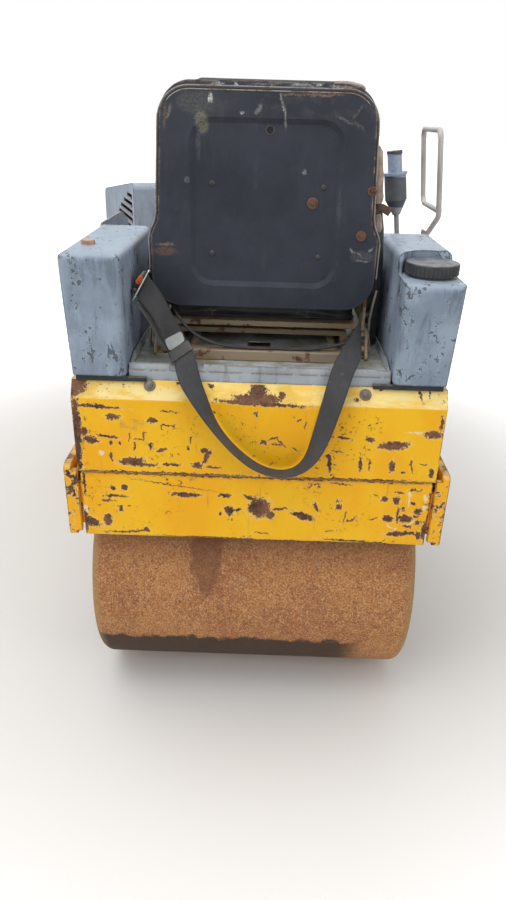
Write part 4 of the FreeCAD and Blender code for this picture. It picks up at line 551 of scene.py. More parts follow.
def seat_shell_black(name):
    """The pressed steel seat back: satin black, scuffed at the top, bare along its rim."""
    material, tree, shader = new_finish(name)
    places = own_places(tree)
    x, y, z = parts_of(tree, places)
    tone = cloud(tree, places, 6.0, 5.0, 0.6)
    colour = tint(tree, step(tree, tone, 0.35, 0.65), (0.018, 0.022, 0.033), (0.030, 0.035, 0.049))
    wipe = cloud(tree, stretched(tree, places, 1.0, 1.0, 0.25), 42.0, 5.0, 0.65)
    colour = tint(tree, step(tree, wipe, 0.56, 0.80, 0.0, 0.30), colour, (0.075, 0.080, 0.095))
    high = step(tree, z, 1.33, 1.44)
    haze = cloud(tree, places, 30.0, 6.0, 0.7)
    colour = tint(tree, sums(tree, "MULTIPLY", high, step(tree, haze, 0.45, 0.75, 0.0, 0.40)), colour, (0.12, 0.115, 0.105))
    shaken = shaken_places(tree, places, 0.014)
    broken = cloud(tree, places, 240.0, 4.0, 0.7)
    for mark_x, mark_z, wide, tall, turn, strength, shade in SHELL_MARKS:
        reach = use(tree, MARK, Vector=shaken, Vector_middle=tuple(rear(mark_x, -166, mark_z)),
                    Vector_size=(wide * MM / 2, 0.05, tall * MM / 2), Turn=math.radians(turn))["Reach"]
        smear = sums(tree, "MULTIPLY", step(tree, reach, 1.3, 0.6, 0.0, strength), step(tree, broken, 0.40, 0.58, 0.25, 1.0))
        colour = tint(tree, smear, colour, shade)
    edge = use(tree, EDGE_WEAR, Vector=places, Width=0.006, Breaks=30.0)["Edge"]
    outer = sums(tree, "ABSOLUTE", sums(tree, "SUBTRACT", x, SHIFT.x))
    outer = sums(tree, "MAXIMUM", step(tree, outer, 0.180, 0.196), step(tree, z, 1.428, 1.440))
    turning = parts_of(tree, facing(tree))[1]
    rounding = sums(tree, "MULTIPLY", step(tree, turning, -0.96, -0.88), step(tree, turning, -0.50, -0.66))
    rounding = sums(tree, "MULTIPLY", rounding, step(tree, cloud(tree, places, 60.0, 4.0), 0.36, 0.46, 0.3, 0.9))
    rim = sums(tree, "MULTIPLY", sums(tree, "MAXIMUM", edge, rounding), outer)
    rim = sums(tree, "MULTIPLY", rim, step(tree, z, 1.10, 1.18, 0.25, 1.0))
    rust = use(tree, RUST, Vector=places, Scale=50.0, Orange=0.6)
    bare = tint(tree, step(tree, haze, 0.44, 0.58), rust["Colour"], (0.36, 0.29, 0.23))
    colour = tint(tree, rim, colour, bare)
    nick = use(tree, CHIPS, Vector=places, Scale=85.0, Amount=0.18, Edge=0.0)["Chip"]
    colour = tint(tree, sums(tree, "MULTIPLY", nick, 0.6), colour, (0.30, 0.29, 0.28))
    feed(tree, colour, shader.inputs["Base Color"])
    feed(tree, between(tree, step(tree, haze, 0.3, 0.7), 0.50, 0.70), shader.inputs["Roughness"])
    shader.inputs["Specular IOR Level"].default_value = 0.35
    under = bump(tree, cloud(tree, places, 420.0, 2.0), 0.0002, 0.4)
    feed(tree, bump(tree, tone, 0.004, 0.25, under), shader.inputs["Normal"])
    return material


# Scuffs on the seat back: place, size, turn, strength and colour.
SHELL_MARKS = [
    (-128, 1392, 26, 44, 12, 0.62, (0.27, 0.26, 0.17)),
    (-140, 1425, 70, 40, 0, 0.35, (0.17, 0.16, 0.14)),
    (-110, 1433, 9, 16, 10, 0.95, (0.62, 0.62, 0.60)),
    (-18, 1416, 10, 22, -30, 0.55, (0.33, 0.33, 0.33)),
    (26, 1428, 5, 36, 15, 0.6, (0.42, 0.42, 0.41)),
    (33, 1402, 5, 40, 5, 0.6, (0.40, 0.40, 0.39)),
    (-50, 1409, 9, 7, 0, 0.8, (0.50, 0.51, 0.52)),
    (150, 1400, 40, 5, -25, 0.28, (0.30, 0.30, 0.30)),
    (176, 1392, 26, 5, -30, 0.25, (0.30, 0.30, 0.30)),
    (172, 1416, 5, 30, -35, 0.26, (0.30, 0.29, 0.28)),
    (100, 1443, 90, 5, 0, 0.55, (0.36, 0.25, 0.20)),
    (40, 1442, 40, 5, 0, 0.45, (0.34, 0.22, 0.17)),
    (-205, 1146, 48, 18, 0, 0.70, (0.190, 0.090, 0.055)),
    (-205, 1160, 40, 6, 0, 0.6, (0.30, 0.22, 0.16)),
    (-199, 1398, 7, 46, -6, 0.5, (0.22, 0.12, 0.075)),
    (-190, 1409, 6, 26, -20, 0.40, (0.38, 0.35, 0.31)),
    (-96, 1457, 26, 5, 4, 0.8, (0.45, 0.47, 0.46)), (-62, 1456, 9, 7, 0, 0.9, (0.70, 0.71, 0.72)),
    (-10, 1458, 60, 3, 0, 0.5, (0.40, 0.40, 0.40)), (64, 1458, 44, 7, 0, 0.75, (0.42, 0.42, 0.44)),
    (96, 1459, 14, 4, 0, 0.9, (0.66, 0.66, 0.66)), (140, 1456, 52, 8, -6, 0.8, (0.40, 0.37, 0.32)),
    (-158, 1287, 10, 12, 0, 0.55, (0.20, 0.21, 0.22)),
    (76, 1307, 9, 9, 0, 0.6, (0.33, 0.34, 0.35)),
    (182, 1158, 5, 16, 30, 0.50, (0.42, 0.42, 0.42)),
    (196, 1151, 22, 4, -35, 0.40, (0.42, 0.42, 0.42)),
    (222, 1160, 14, 4, 40, 0.50, (0.42, 0.42, 0.42)),
    (206, 1137, 32, 4, 0, 0.55, (0.34, 0.34, 0.35)),
    (206, 1146, 50, 22, 0, 0.28, (0.20, 0.19, 0.19)),
    (150, 1245, 9, 70, 0, 0.25, (0.14, 0.15, 0.16)),
    (-135, 1355, 9, 60, 0, 0.25, (0.17, 0.18, 0.18)),
]


def shaken_places(tree, places, reach):
    """The piece's coordinates, shaken a little so that marks get ragged outlines."""
    ragged = add(tree, "TexNoise", Vector=places, Scale=120.0, Detail=4.0, Roughness=0.7).outputs["Color"]
    away = add(tree, "VectorMath", {"operation": "SCALE"}, Scale=reach)
    feed(tree, vectors(tree, "SUBTRACT", ragged, (0.5, 0.5, 0.5)), away.inputs[0])
    return vectors(tree, "ADD", places, away.outputs[0])


def black_vinyl(name, crack):
    """Seat cover: grained vinyl, dusty and cracking."""
    material, tree, shader = new_finish(name)
    places = own_places(tree)
    tone = cloud(tree, places, 14.0, 5.0, 0.6)
    colour = tint(tree, step(tree, tone, 0.35, 0.7), (0.022, 0.023, 0.028), (0.046, 0.046, 0.052))
    splits = add(tree, "TexVoronoi", {"feature": "DISTANCE_TO_EDGE"}, Vector=places, Scale=42.0).outputs["Distance"]
    split = sums(tree, "MULTIPLY", step(tree, splits, 0.030, 0.008), step(tree, tone, 0.52, 0.62, 0.0, crack))
    colour = tint(tree, split, colour, (0.36, 0.27, 0.17))
    mud = use(tree, DUST, Vector=places, Scale=24.0, Amount=0.30)["Dust"]
    colour = tint(tree, mud, colour, (0.17, 0.155, 0.14))
    feed(tree, colour, shader.inputs["Base Color"])
    feed(tree, between(tree, sums(tree, "MAXIMUM", tone, mud), 0.36, 0.66), shader.inputs["Roughness"])
    grain = use(tree, GRAIN, Vector=places, Scale=620.0)["Height"]
    under = bump(tree, grain, 0.0003, 0.6)
    feed(tree, bump(tree, split, -0.0010, 0.7, under), shader.inputs["Normal"])
    return material


def bare_foam(name):
    """Seat foam in the open: tan, crumbly, browner where it is old."""
    material, tree, shader = new_finish(name)
    places = own_places(tree)
    pores = add(tree, "TexVoronoi", {"feature": "F1"}, Vector=places, Scale=520.0).outputs["Distance"]
    old = cloud(tree, places, 45.0, 5.0, 0.65)
    colour = tint(tree, step(tree, old, 0.35, 0.7), (0.36, 0.275, 0.215), (0.60, 0.49, 0.41))
    colour = tint(tree, step(tree, pores, 0.45, 0.15, 0.0, 0.5), colour, (0.16, 0.10, 0.06))
    feed(tree, colour, shader.inputs["Base Color"])
    shader.inputs["Roughness"].default_value = 0.95
    feed(tree, bump(tree, pores, 0.0012, 0.9), shader.inputs["Normal"])
    return material


def belt_webbing(name, light):
    """Seat-belt webbing on its own map, with painted shade in the weave's troughs."""
    material, tree, shader = new_finish(name)
    own_map = add(tree, "UVMap").outputs[0]
    thread = use(tree, WEAVE, Vector=own_map, Width=0.048)
    places = own_places(tree)
    faded = cloud(tree, places, 25.0, 4.0)
    colour = tint(tree, step(tree, faded, 0.35, 0.7), light, tuple(c * 1.35 for c in light))
    colour = tint(tree, sums(tree, "MULTIPLY", thread["Selvedge"], 0.5), colour, tuple(c * 0.55 for c in light))
    # Painted shade: the weave's low troughs are darkened.
    colour = tint(tree, step(tree, thread["Height"], 0.0, -0.8, 0.0, 0.45), colour, tuple(c * 0.45 for c in light))
    dirty = cloud(tree, places, 60.0, 6.0, 0.7)
    colour = tint(tree, step(tree, dirty, 0.60, 0.78, 0.0, 0.5), colour, (0.24, 0.21, 0.16))
    feed(tree, colour, shader.inputs["Base Color"])
    shader.inputs["Roughness"].default_value = 0.75
    shader.inputs["Sheen Weight"].default_value = 0.1
    shader.inputs["Specular IOR Level"].default_value = 0.3
    feed(tree, bump(tree, thread["Height"], 0.0004, 0.8), shader.inputs["Normal"])
    return material


def moulded_black(name, colour, rough, dust, settled=(0.33, 0.27, 0.21)):
    """Moulded plastic or rubber with a fine skin and dust of one colour."""
    material, tree, shader = new_finish(name)
    places = own_places(tree)
    tone = cloud(tree, places, 30.0, 5.0, 0.6)
    shade = tint(tree, step(tree, tone, 0.35, 0.7), tuple(c * 0.75 for c in colour), tuple(c * 1.4 for c in colour))
    edge = use(tree, EDGE_WEAR, Vector=places, Width=0.002, Breaks=120.0)["Edge"]
    shade = tint(tree, sums(tree, "MULTIPLY", edge, 0.35), shade, tuple(min(1.0, c * 4 + 0.05) for c in colour))
    mud = use(tree, DUST, Vector=places, Scale=35.0, Amount=dust)["Dust"]
    shade = tint(tree, mud, shade, settled)
    feed(tree, shade, shader.inputs["Base Color"])
    feed(tree, between(tree, sums(tree, "MAXIMUM", tone, mud), rough * 0.8, min(1.0, rough * 1.3)), shader.inputs["Roughness"])
    grain = use(tree, GRAIN, Vector=places, Scale=1400.0)["Height"]
    feed(tree, bump(tree, grain, 0.0001, 0.5), shader.inputs["Normal"])
    return material


def banded(name, bands, rough):
    """A moulded handle whose parts differ in colour: each band's low end and colour, from the foot up."""
    material, tree, shader = new_finish(name)
    places = own_places(tree)
    z = parts_of(tree, places)[2]
    tone = cloud(tree, places, 60.0, 5.0, 0.65)
    colour = bands[0][1]
    for low, shade in bands[1:]:
        colour = tint(tree, step(tree, z, low - 0.0006, low + 0.0006), colour, shade)
    colour = tint(tree, step(tree, tone, 0.50, 0.70, 0.0, 0.45), colour, (0.19, 0.18, 0.17))
    colour = tint(tree, step(tree, tone, 0.44, 0.30, 0.0, 0.40), colour, (0.030, 0.030, 0.032))
    mud = use(tree, DUST, Vector=places, Scale=40.0, Amount=0.4)["Dust"]
    feed(tree, tint(tree, mud, colour, (0.33, 0.29, 0.24)), shader.inputs["Base Color"])
    feed(tree, between(tree, tone, rough * 0.8, rough * 1.2), shader.inputs["Roughness"])
    feed(tree, bump(tree, tone, 0.0006, 0.5), shader.inputs["Normal"])
    return material


def floor_paper(name):
    """The plain pale floor, white to the camera."""
    material, tree, shader = new_finish(name)
    shader.inputs["Base Color"].default_value = (0.80, 0.79, 0.77, 1.0)
    shader.inputs["Roughness"].default_value = 0.9
    shader.inputs["Emission Color"].default_value = (1.0, 1.0, 1.0, 1.0)
    far = step(tree, vectors(tree, "LENGTH", own_places(tree)), 0.9, 3.2, 0.0, 0.9)
    feed(tree, sums(tree, "MULTIPLY", far, add(tree, "LightPath").outputs["Is Camera Ray"]), shader.inputs["Emission Strength"])
    return material


# Finishes

LOWER_LIP = 0.869
UPPER_LIP = 0.904
yellow_body = paint_yellow("worn yellow, rear body", BODY_MARKS, (LOWER_LIP, UPPER_LIP), 0.33, 0.25)
yellow_bumper = paint_yellow("worn yellow, rear bumper", BUMPER_MARKS, None, 0.36, 0.25)
yellow_arms = paint_yellow("weathered yellow, arms", None, None, 0.77, 0.9, 0.45)
yellow_front = paint_yellow("worn yellow, front", None, None, 0.46, 0.4, 0.36)
yellow_deep = paint_yellow("yellow in the shade", None, None, 0.66, 0.7, 0.30)
tank_grey = paint_grey("tank grey", (0.300, 0.365, 0.455), (0.205, 0.255, 0.330), (0.37, 0.455, 0.555), 0.62, 0.10, 0.50, (0.048, 0.058, 0.070))
sheet_grey = paint_grey("sheet grey", (0.33, 0.39, 0.475), (0.25, 0.30, 0.375), (0.43, 0.49, 0.56), 0.30, 0.25, 0.35)
tray_grey = paint_grey("tray grey", (0.40, 0.455, 0.51), (0.30, 0.345, 0.39), (0.50, 0.55, 0.59), 0.20, 0.95)
floor_grey = paint_grey("floor grey", (0.24, 0.26, 0.28), (0.16, 0.175, 0.19), (0.32, 0.34, 0.35), 0.35, 0.9, 0.5)
rail_steel = paint_grey("galvanised rail", (0.54, 0.50, 0.49), (0.42, 0.39, 0.38), (0.68, 0.62, 0.60), 0.12, 0.1, 0.25)
pipe_grey = paint_grey("grey pipes", (0.46, 0.46, 0.47), (0.34, 0.34, 0.35), (0.60, 0.57, 0.56), 0.12, 0.2, 0.25)
lip_grey = paint_grey("tray lip grey", (0.40, 0.44, 0.47), (0.27, 0.30, 0.33), (0.56, 0.60, 0.62), 0.35, 0.45)
frame_steel = rusty_steel("rusty seat frame", (0.30, 0.235, 0.155), 0.60, 0.45, 0.6)
hinge_steel = rusty_steel("pale hinge steel", (0.44, 0.41, 0.36), 0.70, 0.45, 0.2)
rim_steel = rusty_steel("seat back rim", (0.36, 0.32, 0.30), 0.66, 0.5, 0.0)
piping_grey = rusty_steel("worn piping", (0.30, 0.285, 0.275), 0.72, 0.4, 0.0)
weathered_bolt = rusty_steel("weathered bolts", (0.21, 0.185, 0.16), 0.62, 0.3, 0.1)
rusted = rusty_steel("rusted bolts", (0.13, 0.07, 0.045), 0.45, 0.55, 0.1)
dark_steel = rusty_steel("dark steel", (0.050, 0.050, 0.052), 0.62, 0.4, 0.35)
engine_iron = rusty_steel("engine iron", (0.045, 0.050, 0.050), 0.75, 0.3, 0.6)
bolt_steel = bare_metal("dull bolts", (0.42, 0.42, 0.43), 0.42, 0.7, 0.3)
chrome = bare_metal("chrome rod", (0.80, 0.80, 0.81), 0.12, 0.1, 0.0)
tongue_steel = bare_metal("belt tongue", (0.78, 0.79, 0.81), 0.18, 0.1, 0.0)
shell_black = seat_shell_black("seat back black")
vinyl = black_vinyl("black vinyl", 0.75)
foam = bare_foam("bare foam")
webbing_grey = belt_webbing("belt webbing", (0.050, 0.050, 0.053))
webbing_pale = belt_webbing("faded webbing", (0.120, 0.118, 0.115))
tag_grey = belt_webbing("bare belt tag", (0.40, 0.41, 0.41))
tag_plastic = moulded_black("dial face", (0.55, 0.55, 0.53), 0.5, 0.3)
rubber = moulded_black("black rubber", (0.022, 0.022, 0.024), 0.7, 0.5)
plastic = moulded_black("black plastic", (0.028, 0.028, 0.030), 0.45, 0.55)
cap_black = moulded_black("cap plastic", (0.028, 0.029, 0.032), 0.5, 0.62, (0.25, 0.28, 0.32))
cable_black = moulded_black("cable sheath", (0.020, 0.020, 0.022), 0.5, 0.1)
slider_black = moulded_black("adjuster", (0.060, 0.058, 0.056), 0.6, 0.5)
button_red = moulded_black("buckle button", (0.62, 0.11, 0.03), 0.5, 0.25)
lever_bands = banded("travel lever", [
    (0, (0.27, 0.32, 0.39)), (1.036, (0.34, 0.35, 0.36)), (1.194, (0.42, 0.42, 0.42)), (1.212, (0.095, 0.102, 0.122)),
    (1.281, (0.32, 0.385, 0.50)), (1.288, (0.36, 0.43, 0.56)), (1.330, (0.070, 0.072, 0.080)),
], 0.55)
plug_red = moulded_black("plug, salmon", (0.46, 0.27, 0.19), 0.7, 0.5, (0.52, 0.42, 0.34))
rear_drum_steel = drum_rust("rusty drum, rear", rear(0, 0, 290), 0.0)
front_drum_steel = drum_rust("rusty drum, front", front(0, 1380, 290), math.radians(20))

FINISHES = {
    "rear_body": yellow_body, "rear_bumper": yellow_bumper, "rear_arm_left": yellow_arms, "rear_arm_right": yellow_arms,
    "rear_cross_beam": yellow_deep, "front_arm_left": yellow_front, "front_arm_right": yellow_front,
    "front_bumper": yellow_front, "front_cross_beam": yellow_deep, "tow_lug": yellow_deep,
    "rear_drum": rear_drum_steel, "front_drum": front_drum_steel, "rear_axle_carriers": dark_steel,
    "front_axle_carriers": dark_steel, "rear_axle_buffers": rubber, "front_axle_buffers": rubber,
    "rear_scraper": dark_steel, "front_scraper": dark_steel, "rear_sprinkler": pipe_grey, "front_sprinkler": pipe_grey,
    "steering_pin": bolt_steel, "steering_yoke": dark_steel, "steering_cylinder_barrel": dark_steel,
    "steering_cylinder_rod": chrome, "floor_plate": floor_grey, "guard_left": sheet_grey, "guard_right": sheet_grey,
    "hand_rail": rail_steel, "tank_left": tank_grey, "tank_right": tank_grey, "tank_pads": rubber, "tank_cap": cap_black,
    "tank_plug": plug_red, "seat_tray": tray_grey, "seat_frame": frame_steel, "seat_scissor": frame_steel,
    "seat_pan": frame_steel, "seat_back_shell": shell_black, "steering_console": sheet_grey, "steering_wheel": rubber,
    "travel_lever": lever_bands, "engine_deck": yellow_deep, "engine": engine_iron, "hood": sheet_grey,
    "hood_hinges": dark_steel, "hood_rests": rubber, "belt_adjuster": dark_steel, "seat_cables": plastic,
    "seat_back_cushion": vinyl, "seat_cushion": vinyl, "belt_buckle": plastic, "belt_strap": webbing_grey, "belt_loop": webbing_grey,
}


def dress_nodes():
    """Every carried-over node in its own finish."""
    for name, finish in FINISHES.items():
        data = nodes[name].data
        data.materials.clear()
        data.materials.append(finish)


# Making pieces


def stand(name, bm, body, finish, setting=REAR_SET, scale=MM, sharp=35.0):
    """A piece from its mesh, laid out in millimetres, set in place and riding on its body."""
    bmesh.ops.remove_doubles(bm, verts=bm.verts, dist=0.001)
    bmesh.ops.recalc_face_normals(bm, faces=bm.faces)
    bmesh.ops.transform(bm, matrix=setting @ Matrix.Scale(scale, 4), verts=bm.verts)
    data = bpy.data.meshes.new(name)
    bm.to_mesh(data)
    bm.free()
    data.polygons.foreach_set("use_smooth", [True] * len(data.polygons))
    data.set_sharp_from_angle(angle=math.radians(sharp))
    data.materials.append(finish)
    piece = bpy.data.objects.new(name, data)
    bpy.context.collection.objects.link(piece)
    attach(piece, body)
    return piece


def facing_way(place, way, across=None):
    """A setting whose Z points one way from a place."""
    way = Vector(way).normalized()
    across = Vector(across) if across is not None else way.orthogonal()
    side = (across - way * across.dot(way)).normalized()
    turn = Matrix((side, way.cross(side), way)).transposed().to_4x4()
    return Matrix.Translation(Vector(place)) @ turn


def join_into(bm, other, setting):
    """Adds one shape to another at a setting."""
    bmesh.ops.transform(other, matrix=setting, verts=other.verts)
    data = bpy.data.meshes.new("passing")
    other.to_mesh(data)
    other.free()
    bm.from_mesh(data)
    bpy.data.meshes.remove(data)


def turned(profile, steps=24):
    """A shape spun from a profile of (radius, height) points."""
    bm = bmesh.new()
    ring = [bm.verts.new((radius, 0, height)) for radius, height in profile]
    for low, high in zip(ring, ring[1:]):
        bm.edges.new((low, high))
    bmesh.ops.spin(bm, geom=bm.verts[:] + bm.edges[:], angle=math.tau, steps=steps, use_merge=True,
                   axis=(0, 0, 1), cent=(0, 0, 0))
    bmesh.ops.remove_doubles(bm, verts=bm.verts, dist=0.001)
    return bm


def soft_edges(bm, width, segments=2, sharper=30.0):
    """The sharp edges rounded."""
    sharp = [edge for edge in bm.edges if len(edge.link_faces) == 2 and edge.calc_face_angle(0) > math.radians(sharper)]
    bmesh.ops.bevel(bm, geom=sharp, offset=width, segments=segments, profile=0.5, affect="EDGES", material=-1, clamp_overlap=True)


def plate_shape(width, height, thick, corner, edge=0.6):
    """A flat plate with round corners, its back on Z = 0."""
    bm = bmesh.new()
    bmesh.ops.create_grid(bm, x_segments=1, y_segments=1, size=0.5)
    bmesh.ops.scale(bm, vec=(width, height, 1), verts=bm.verts)
    bmesh.ops.bevel(bm, geom=bm.verts[:], offset=corner, segments=5, profile=0.5, affect="VERTICES", material=-1)
    made = bmesh.ops.extrude_face_region(bm, geom=bm.faces[:])
    bmesh.ops.translate(bm, vec=(0, 0, thick), verts=[v for v in made["geom"] if isinstance(v, bmesh.types.BMVert)])
    bmesh.ops.recalc_face_normals(bm, faces=bm.faces)
    soft_edges(bm, edge)
    return bm


def hex_bolt(size, washer):
    """A hexagon head on a washer, its seat on Z = 0."""
    bm = turned([(0.001, 0), (washer, 0), (washer, 1.4), (washer - 0.5, 1.9), (size * 0.5, 1.9)], 28)
    head = bmesh.new()
    bmesh.ops.create_circle(head, cap_ends=True, segments=6, radius=size * 0.58)
    bmesh.ops.translate(head, vec=(0, 0, 1.7), verts=head.verts)
    made = bmesh.ops.extrude_face_region(head, geom=head.faces[:])
    bmesh.ops.translate(head, vec=(0, 0, size * 0.62), verts=[v for v in made["geom"] if isinstance(v, bmesh.types.BMVert)])
    bmesh.ops.recalc_face_normals(head, faces=head.faces)
    soft_edges(head, size * 0.07, 2)
    shank = turned([(0.001, size * 0.62 + 1.6), (size * 0.26, size * 0.62 + 1.6), (size * 0.26, size * 0.9 + 1.6), (size * 0.2, size + 1.6), (0.001, size + 1.6)], 16)
    join_into(bm, head, Matrix.Identity(4))
    join_into(bm, shank, Matrix.Identity(4))
    return bm


def dome_head(radius):
    """A low round rivet head."""
    steps = [(radius * math.cos(a), radius * 0.45 * math.sin(a)) for a in (0, 0.3, 0.6, 0.9, 1.2)]
    return turned([(0.001, 0)] + steps + [(0.001, radius * 0.45)], 20)


def many(name, shapes, body, finish, setting=REAR_SET):
    """Several small shapes at their settings, as one piece."""
    bm = bmesh.new()
    for shape, at in shapes:
        join_into(bm, shape, at)
    return stand(name, bm, body, finish, setting)


LIP_SLOPE = (0, -35, 22)


def make_fasteners():
    """Bolts and rivets, as the photo shows them or as such a machine has them."""
    many("lip_bolts", [
        (hex_bolt(12, 12.5), facing_way((-228, -298.4, 895.4), LIP_SLOPE)),
        (hex_bolt(12, 12.5), facing_way((221, -300.9, 891.4), LIP_SLOPE)),
    ], "rear_frame", weathered_bolt)
    many("lip_rusty_bolt", [(hex_bolt(12, 13), facing_way((-3, -300.9, 891.4), LIP_SLOPE))], "rear_frame", rusted)
    many("back_bolts", [
        (hex_bolt(10, 11.5), facing_way((96, -160, 1248), (0, -1, 0))),
        (hex_bolt(7, 9), facing_way((213, -167, 1275), (0, -1, 0))),
        (hex_bolt(8.5, 10.5), facing_way((199, -167, 1188), (0, -1, 0))),
    ], "rear_frame", rusted)
    many("back_rivets", [(dome_head(6), facing_way((x, -160, z), (0, -1, 0)))
                         for x, z in ((-108, 1280), (116, 1278), (-108, 1143), (114, 1141))], "rear_frame", plastic)
    hole_rim = turned([(6.2, 0), (9.5, 0), (9.5, 0.6), (8.2, 1.3), (6.2, 0.6), (6.2, 0)], 28)
    many("back_hole_rim", [(hole_rim, facing_way((5, -160, 1380), (0, -1, 0)))], "rear_frame", plastic)
    # A black disc in the hole stands in for the shade inside it.
    many("back_hole_shade_disc", [(turned([(0.01, 0), (6.0, 0), (6.0, 1), (0.01, 1)], 24), facing_way((5, -150, 1380), (0, -1, 0)))],
         "rear_frame", cable_black)
    for name, along, body, setting in (("rear_axle_bolts", 0, "rear_frame", REAR_SET), ("front_axle_bolts", 1380, "front_frame", FRONT_SET)):
        ring = []
        for side in (-1, 1):
            for index in range(6):
                turn = math.tau * index / 6
                place = (side * 424, along + 52 * math.cos(turn), 290 + 52 * math.sin(turn))
                ring.append((hex_bolt(13, 11), facing_way(place, (side, 0, 0))))
        many(name, ring, body, bolt_steel, setting)


CABLE_ROUTE = [
    (-221.6, -122, 1040), (-200, -131, 1034), (-184, -164, 1008), (-146, -189, 976), (-95, -194, 956), (-30, -197, 952),
    (40, -194, 951.8), (108, -196, 952.5), (163, -190, 960), (203, -174, 970), (227.5, -157, 972),
]


def make_cables():
    """The two thin cables that lie on the rear channel, one behind the other."""
    for name, back in (("seat_cable_near", -7), ("seat_cable_far", 0)):
        line = bpy.data.curves.new(name, "CURVE")
        line.dimensions = "3D"
        line.bevel_depth = 0.0025
        line.bevel_resolution = 4
        line.resolution_u = 8
        spline = line.splines.new("NURBS")
        spline.points.add(len(CABLE_ROUTE) - 1)
        for point, (x, y, z) in zip(spline.points, CABLE_ROUTE):
            point.co = (*rear(x, y + back, z), 1.0)
        spline.order_u = 3
        spline.use_endpoint_u = True
        line.materials.append(cable_black)
        cable = bpy.data.objects.new(name, line)
        bpy.context.collection.objects.link(cable)
        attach(cable, "rear_frame")
        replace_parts(cable, "seat_cables")


make_camera()
make_cables()
dress_nodes()
make_fasteners()


# Cushions


def stuffed(name, node, shrink, cap, finish, channels, held):
    """A cushion blown up from its solid where nothing holds it, with sewn channels pressed in after."""
    bm = bmesh.new()
    bm.from_mesh(nodes[node].data)
    bmesh.ops.remove_doubles(bm, verts=bm.verts, dist=0.0002)
    low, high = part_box(node)
    middle = (Vector(low) + Vector(high)) / 2
    bmesh.ops.transform(bm, matrix=Matrix.Translation(middle) @ Matrix.Diagonal((*shrink, 1)) @ Matrix.Translation(-middle), verts=bm.verts)
    data = bpy.data.meshes.new(name)
    bm.to_mesh(data)
    bm.free()
    piece = bpy.data.objects.new(name, data)
    bpy.context.collection.objects.link(piece)
    remesh = piece.modifiers.new("voxels", "REMESH")
    remesh.mode = "VOXEL"
    remesh.voxel_size = 0.006
    settle(piece)
    starts = [vertex.co.copy() for vertex in piece.data.vertices]
    cloth = piece.modifiers.new("stuffing", "CLOTH").settings
    cloth.quality = 5
    cloth.use_pressure = True
    cloth.uniform_pressure_force = 4.0
    cloth.effector_weights.gravity = 0.0
    scene = bpy.context.scene
    for number in range(1, 21):
        scene.frame_set(number)
    settle(piece)
    scene.frame_set(1)
    for vertex, start in zip(piece.data.vertices, starts):
        moved = vertex.co - start
        if held((start - SHIFT) / MM):
            vertex.co = start
        elif moved.length > cap:
            vertex.co = start + moved.normalized() * cap
    for vertex in piece.data.vertices:
        dip = channels(vertex.co)
        if dip:
            vertex.co -= vertex.normal * dip
    finer = piece.modifiers.new("finer", "SUBSURF")
    finer.levels = finer.render_levels = 1
    settle(piece)
    piece.data.polygons.foreach_set("use_smooth", [True] * len(piece.data.polygons))
    piece.data.materials.clear()
    piece.data.materials.append(finish)
    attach(piece, "rear_frame")
    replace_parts(piece, node)
    return piece


def settle(piece):
    """The piece's modifiers put into its mesh."""
    graph = bpy.context.evaluated_depsgraph_get()
    graph.update()
    data = bpy.data.meshes.new_from_object(piece.evaluated_get(graph))
    piece.modifiers.clear()
    piece.data = data


def groove(distance, width, depth):
    """How deep a sewn line is, at a distance from it."""
    return depth * math.exp(-(distance / width) ** 2)


def back_seams(place):
    """The back cushion's sewn lines: a border and two cross channels on its front."""
    at = (place - SHIFT) / MM
    if at.y < -95:
        return groove(at.y + 122, 5, 2.5) * MM
    border = min(abs(abs(at.x) - 158), abs(at.z - 1405), abs(at.z - 1120))
    inside = abs(at.x) < 160 and 1116 < at.z < 1409
    dip = groove(border, 5, 4) if inside else 0
    for line in (1215, 1310):
        if inside:
            dip = max(dip, groove(at.z - line, 6, 4.5))
    return dip * MM


def seat_seams(place):
    """The seat cushion's sewn lines: a border and cross channels on its top."""
    at = (place - SHIFT) / MM
    if at.z < 1050:
        return groove(at.z - 1038, 5, 2.5) * MM
    border = min(abs(abs(at.x) - 165), abs(at.y - 235), abs(at.y + 75))
    inside = abs(at.x) < 168 and -79 < at.y < 239
    dip = groove(border, 5, 4) if inside else 0
    for line in (25, 130):
        if inside:
            dip = max(dip, groove(at.y - line, 6, 4.5))
    return dip * MM


def in_back_shell(at):
    """Whether the back cushion lies in its shell there."""
    return at.y < -133


def on_seat_pan(at):
    """Whether the seat cushion rests on its pan there."""
    return at.z < 998


stuffed("back_pad", "seat_back_cushion", (0.985, 0.96, 0.996), 0.010, vinyl, back_seams, in_back_shell)
stuffed("seat_pad", "seat_cushion", (0.975, 0.975, 0.93), 0.014, vinyl, seat_seams, on_seat_pan)


# Lap belt

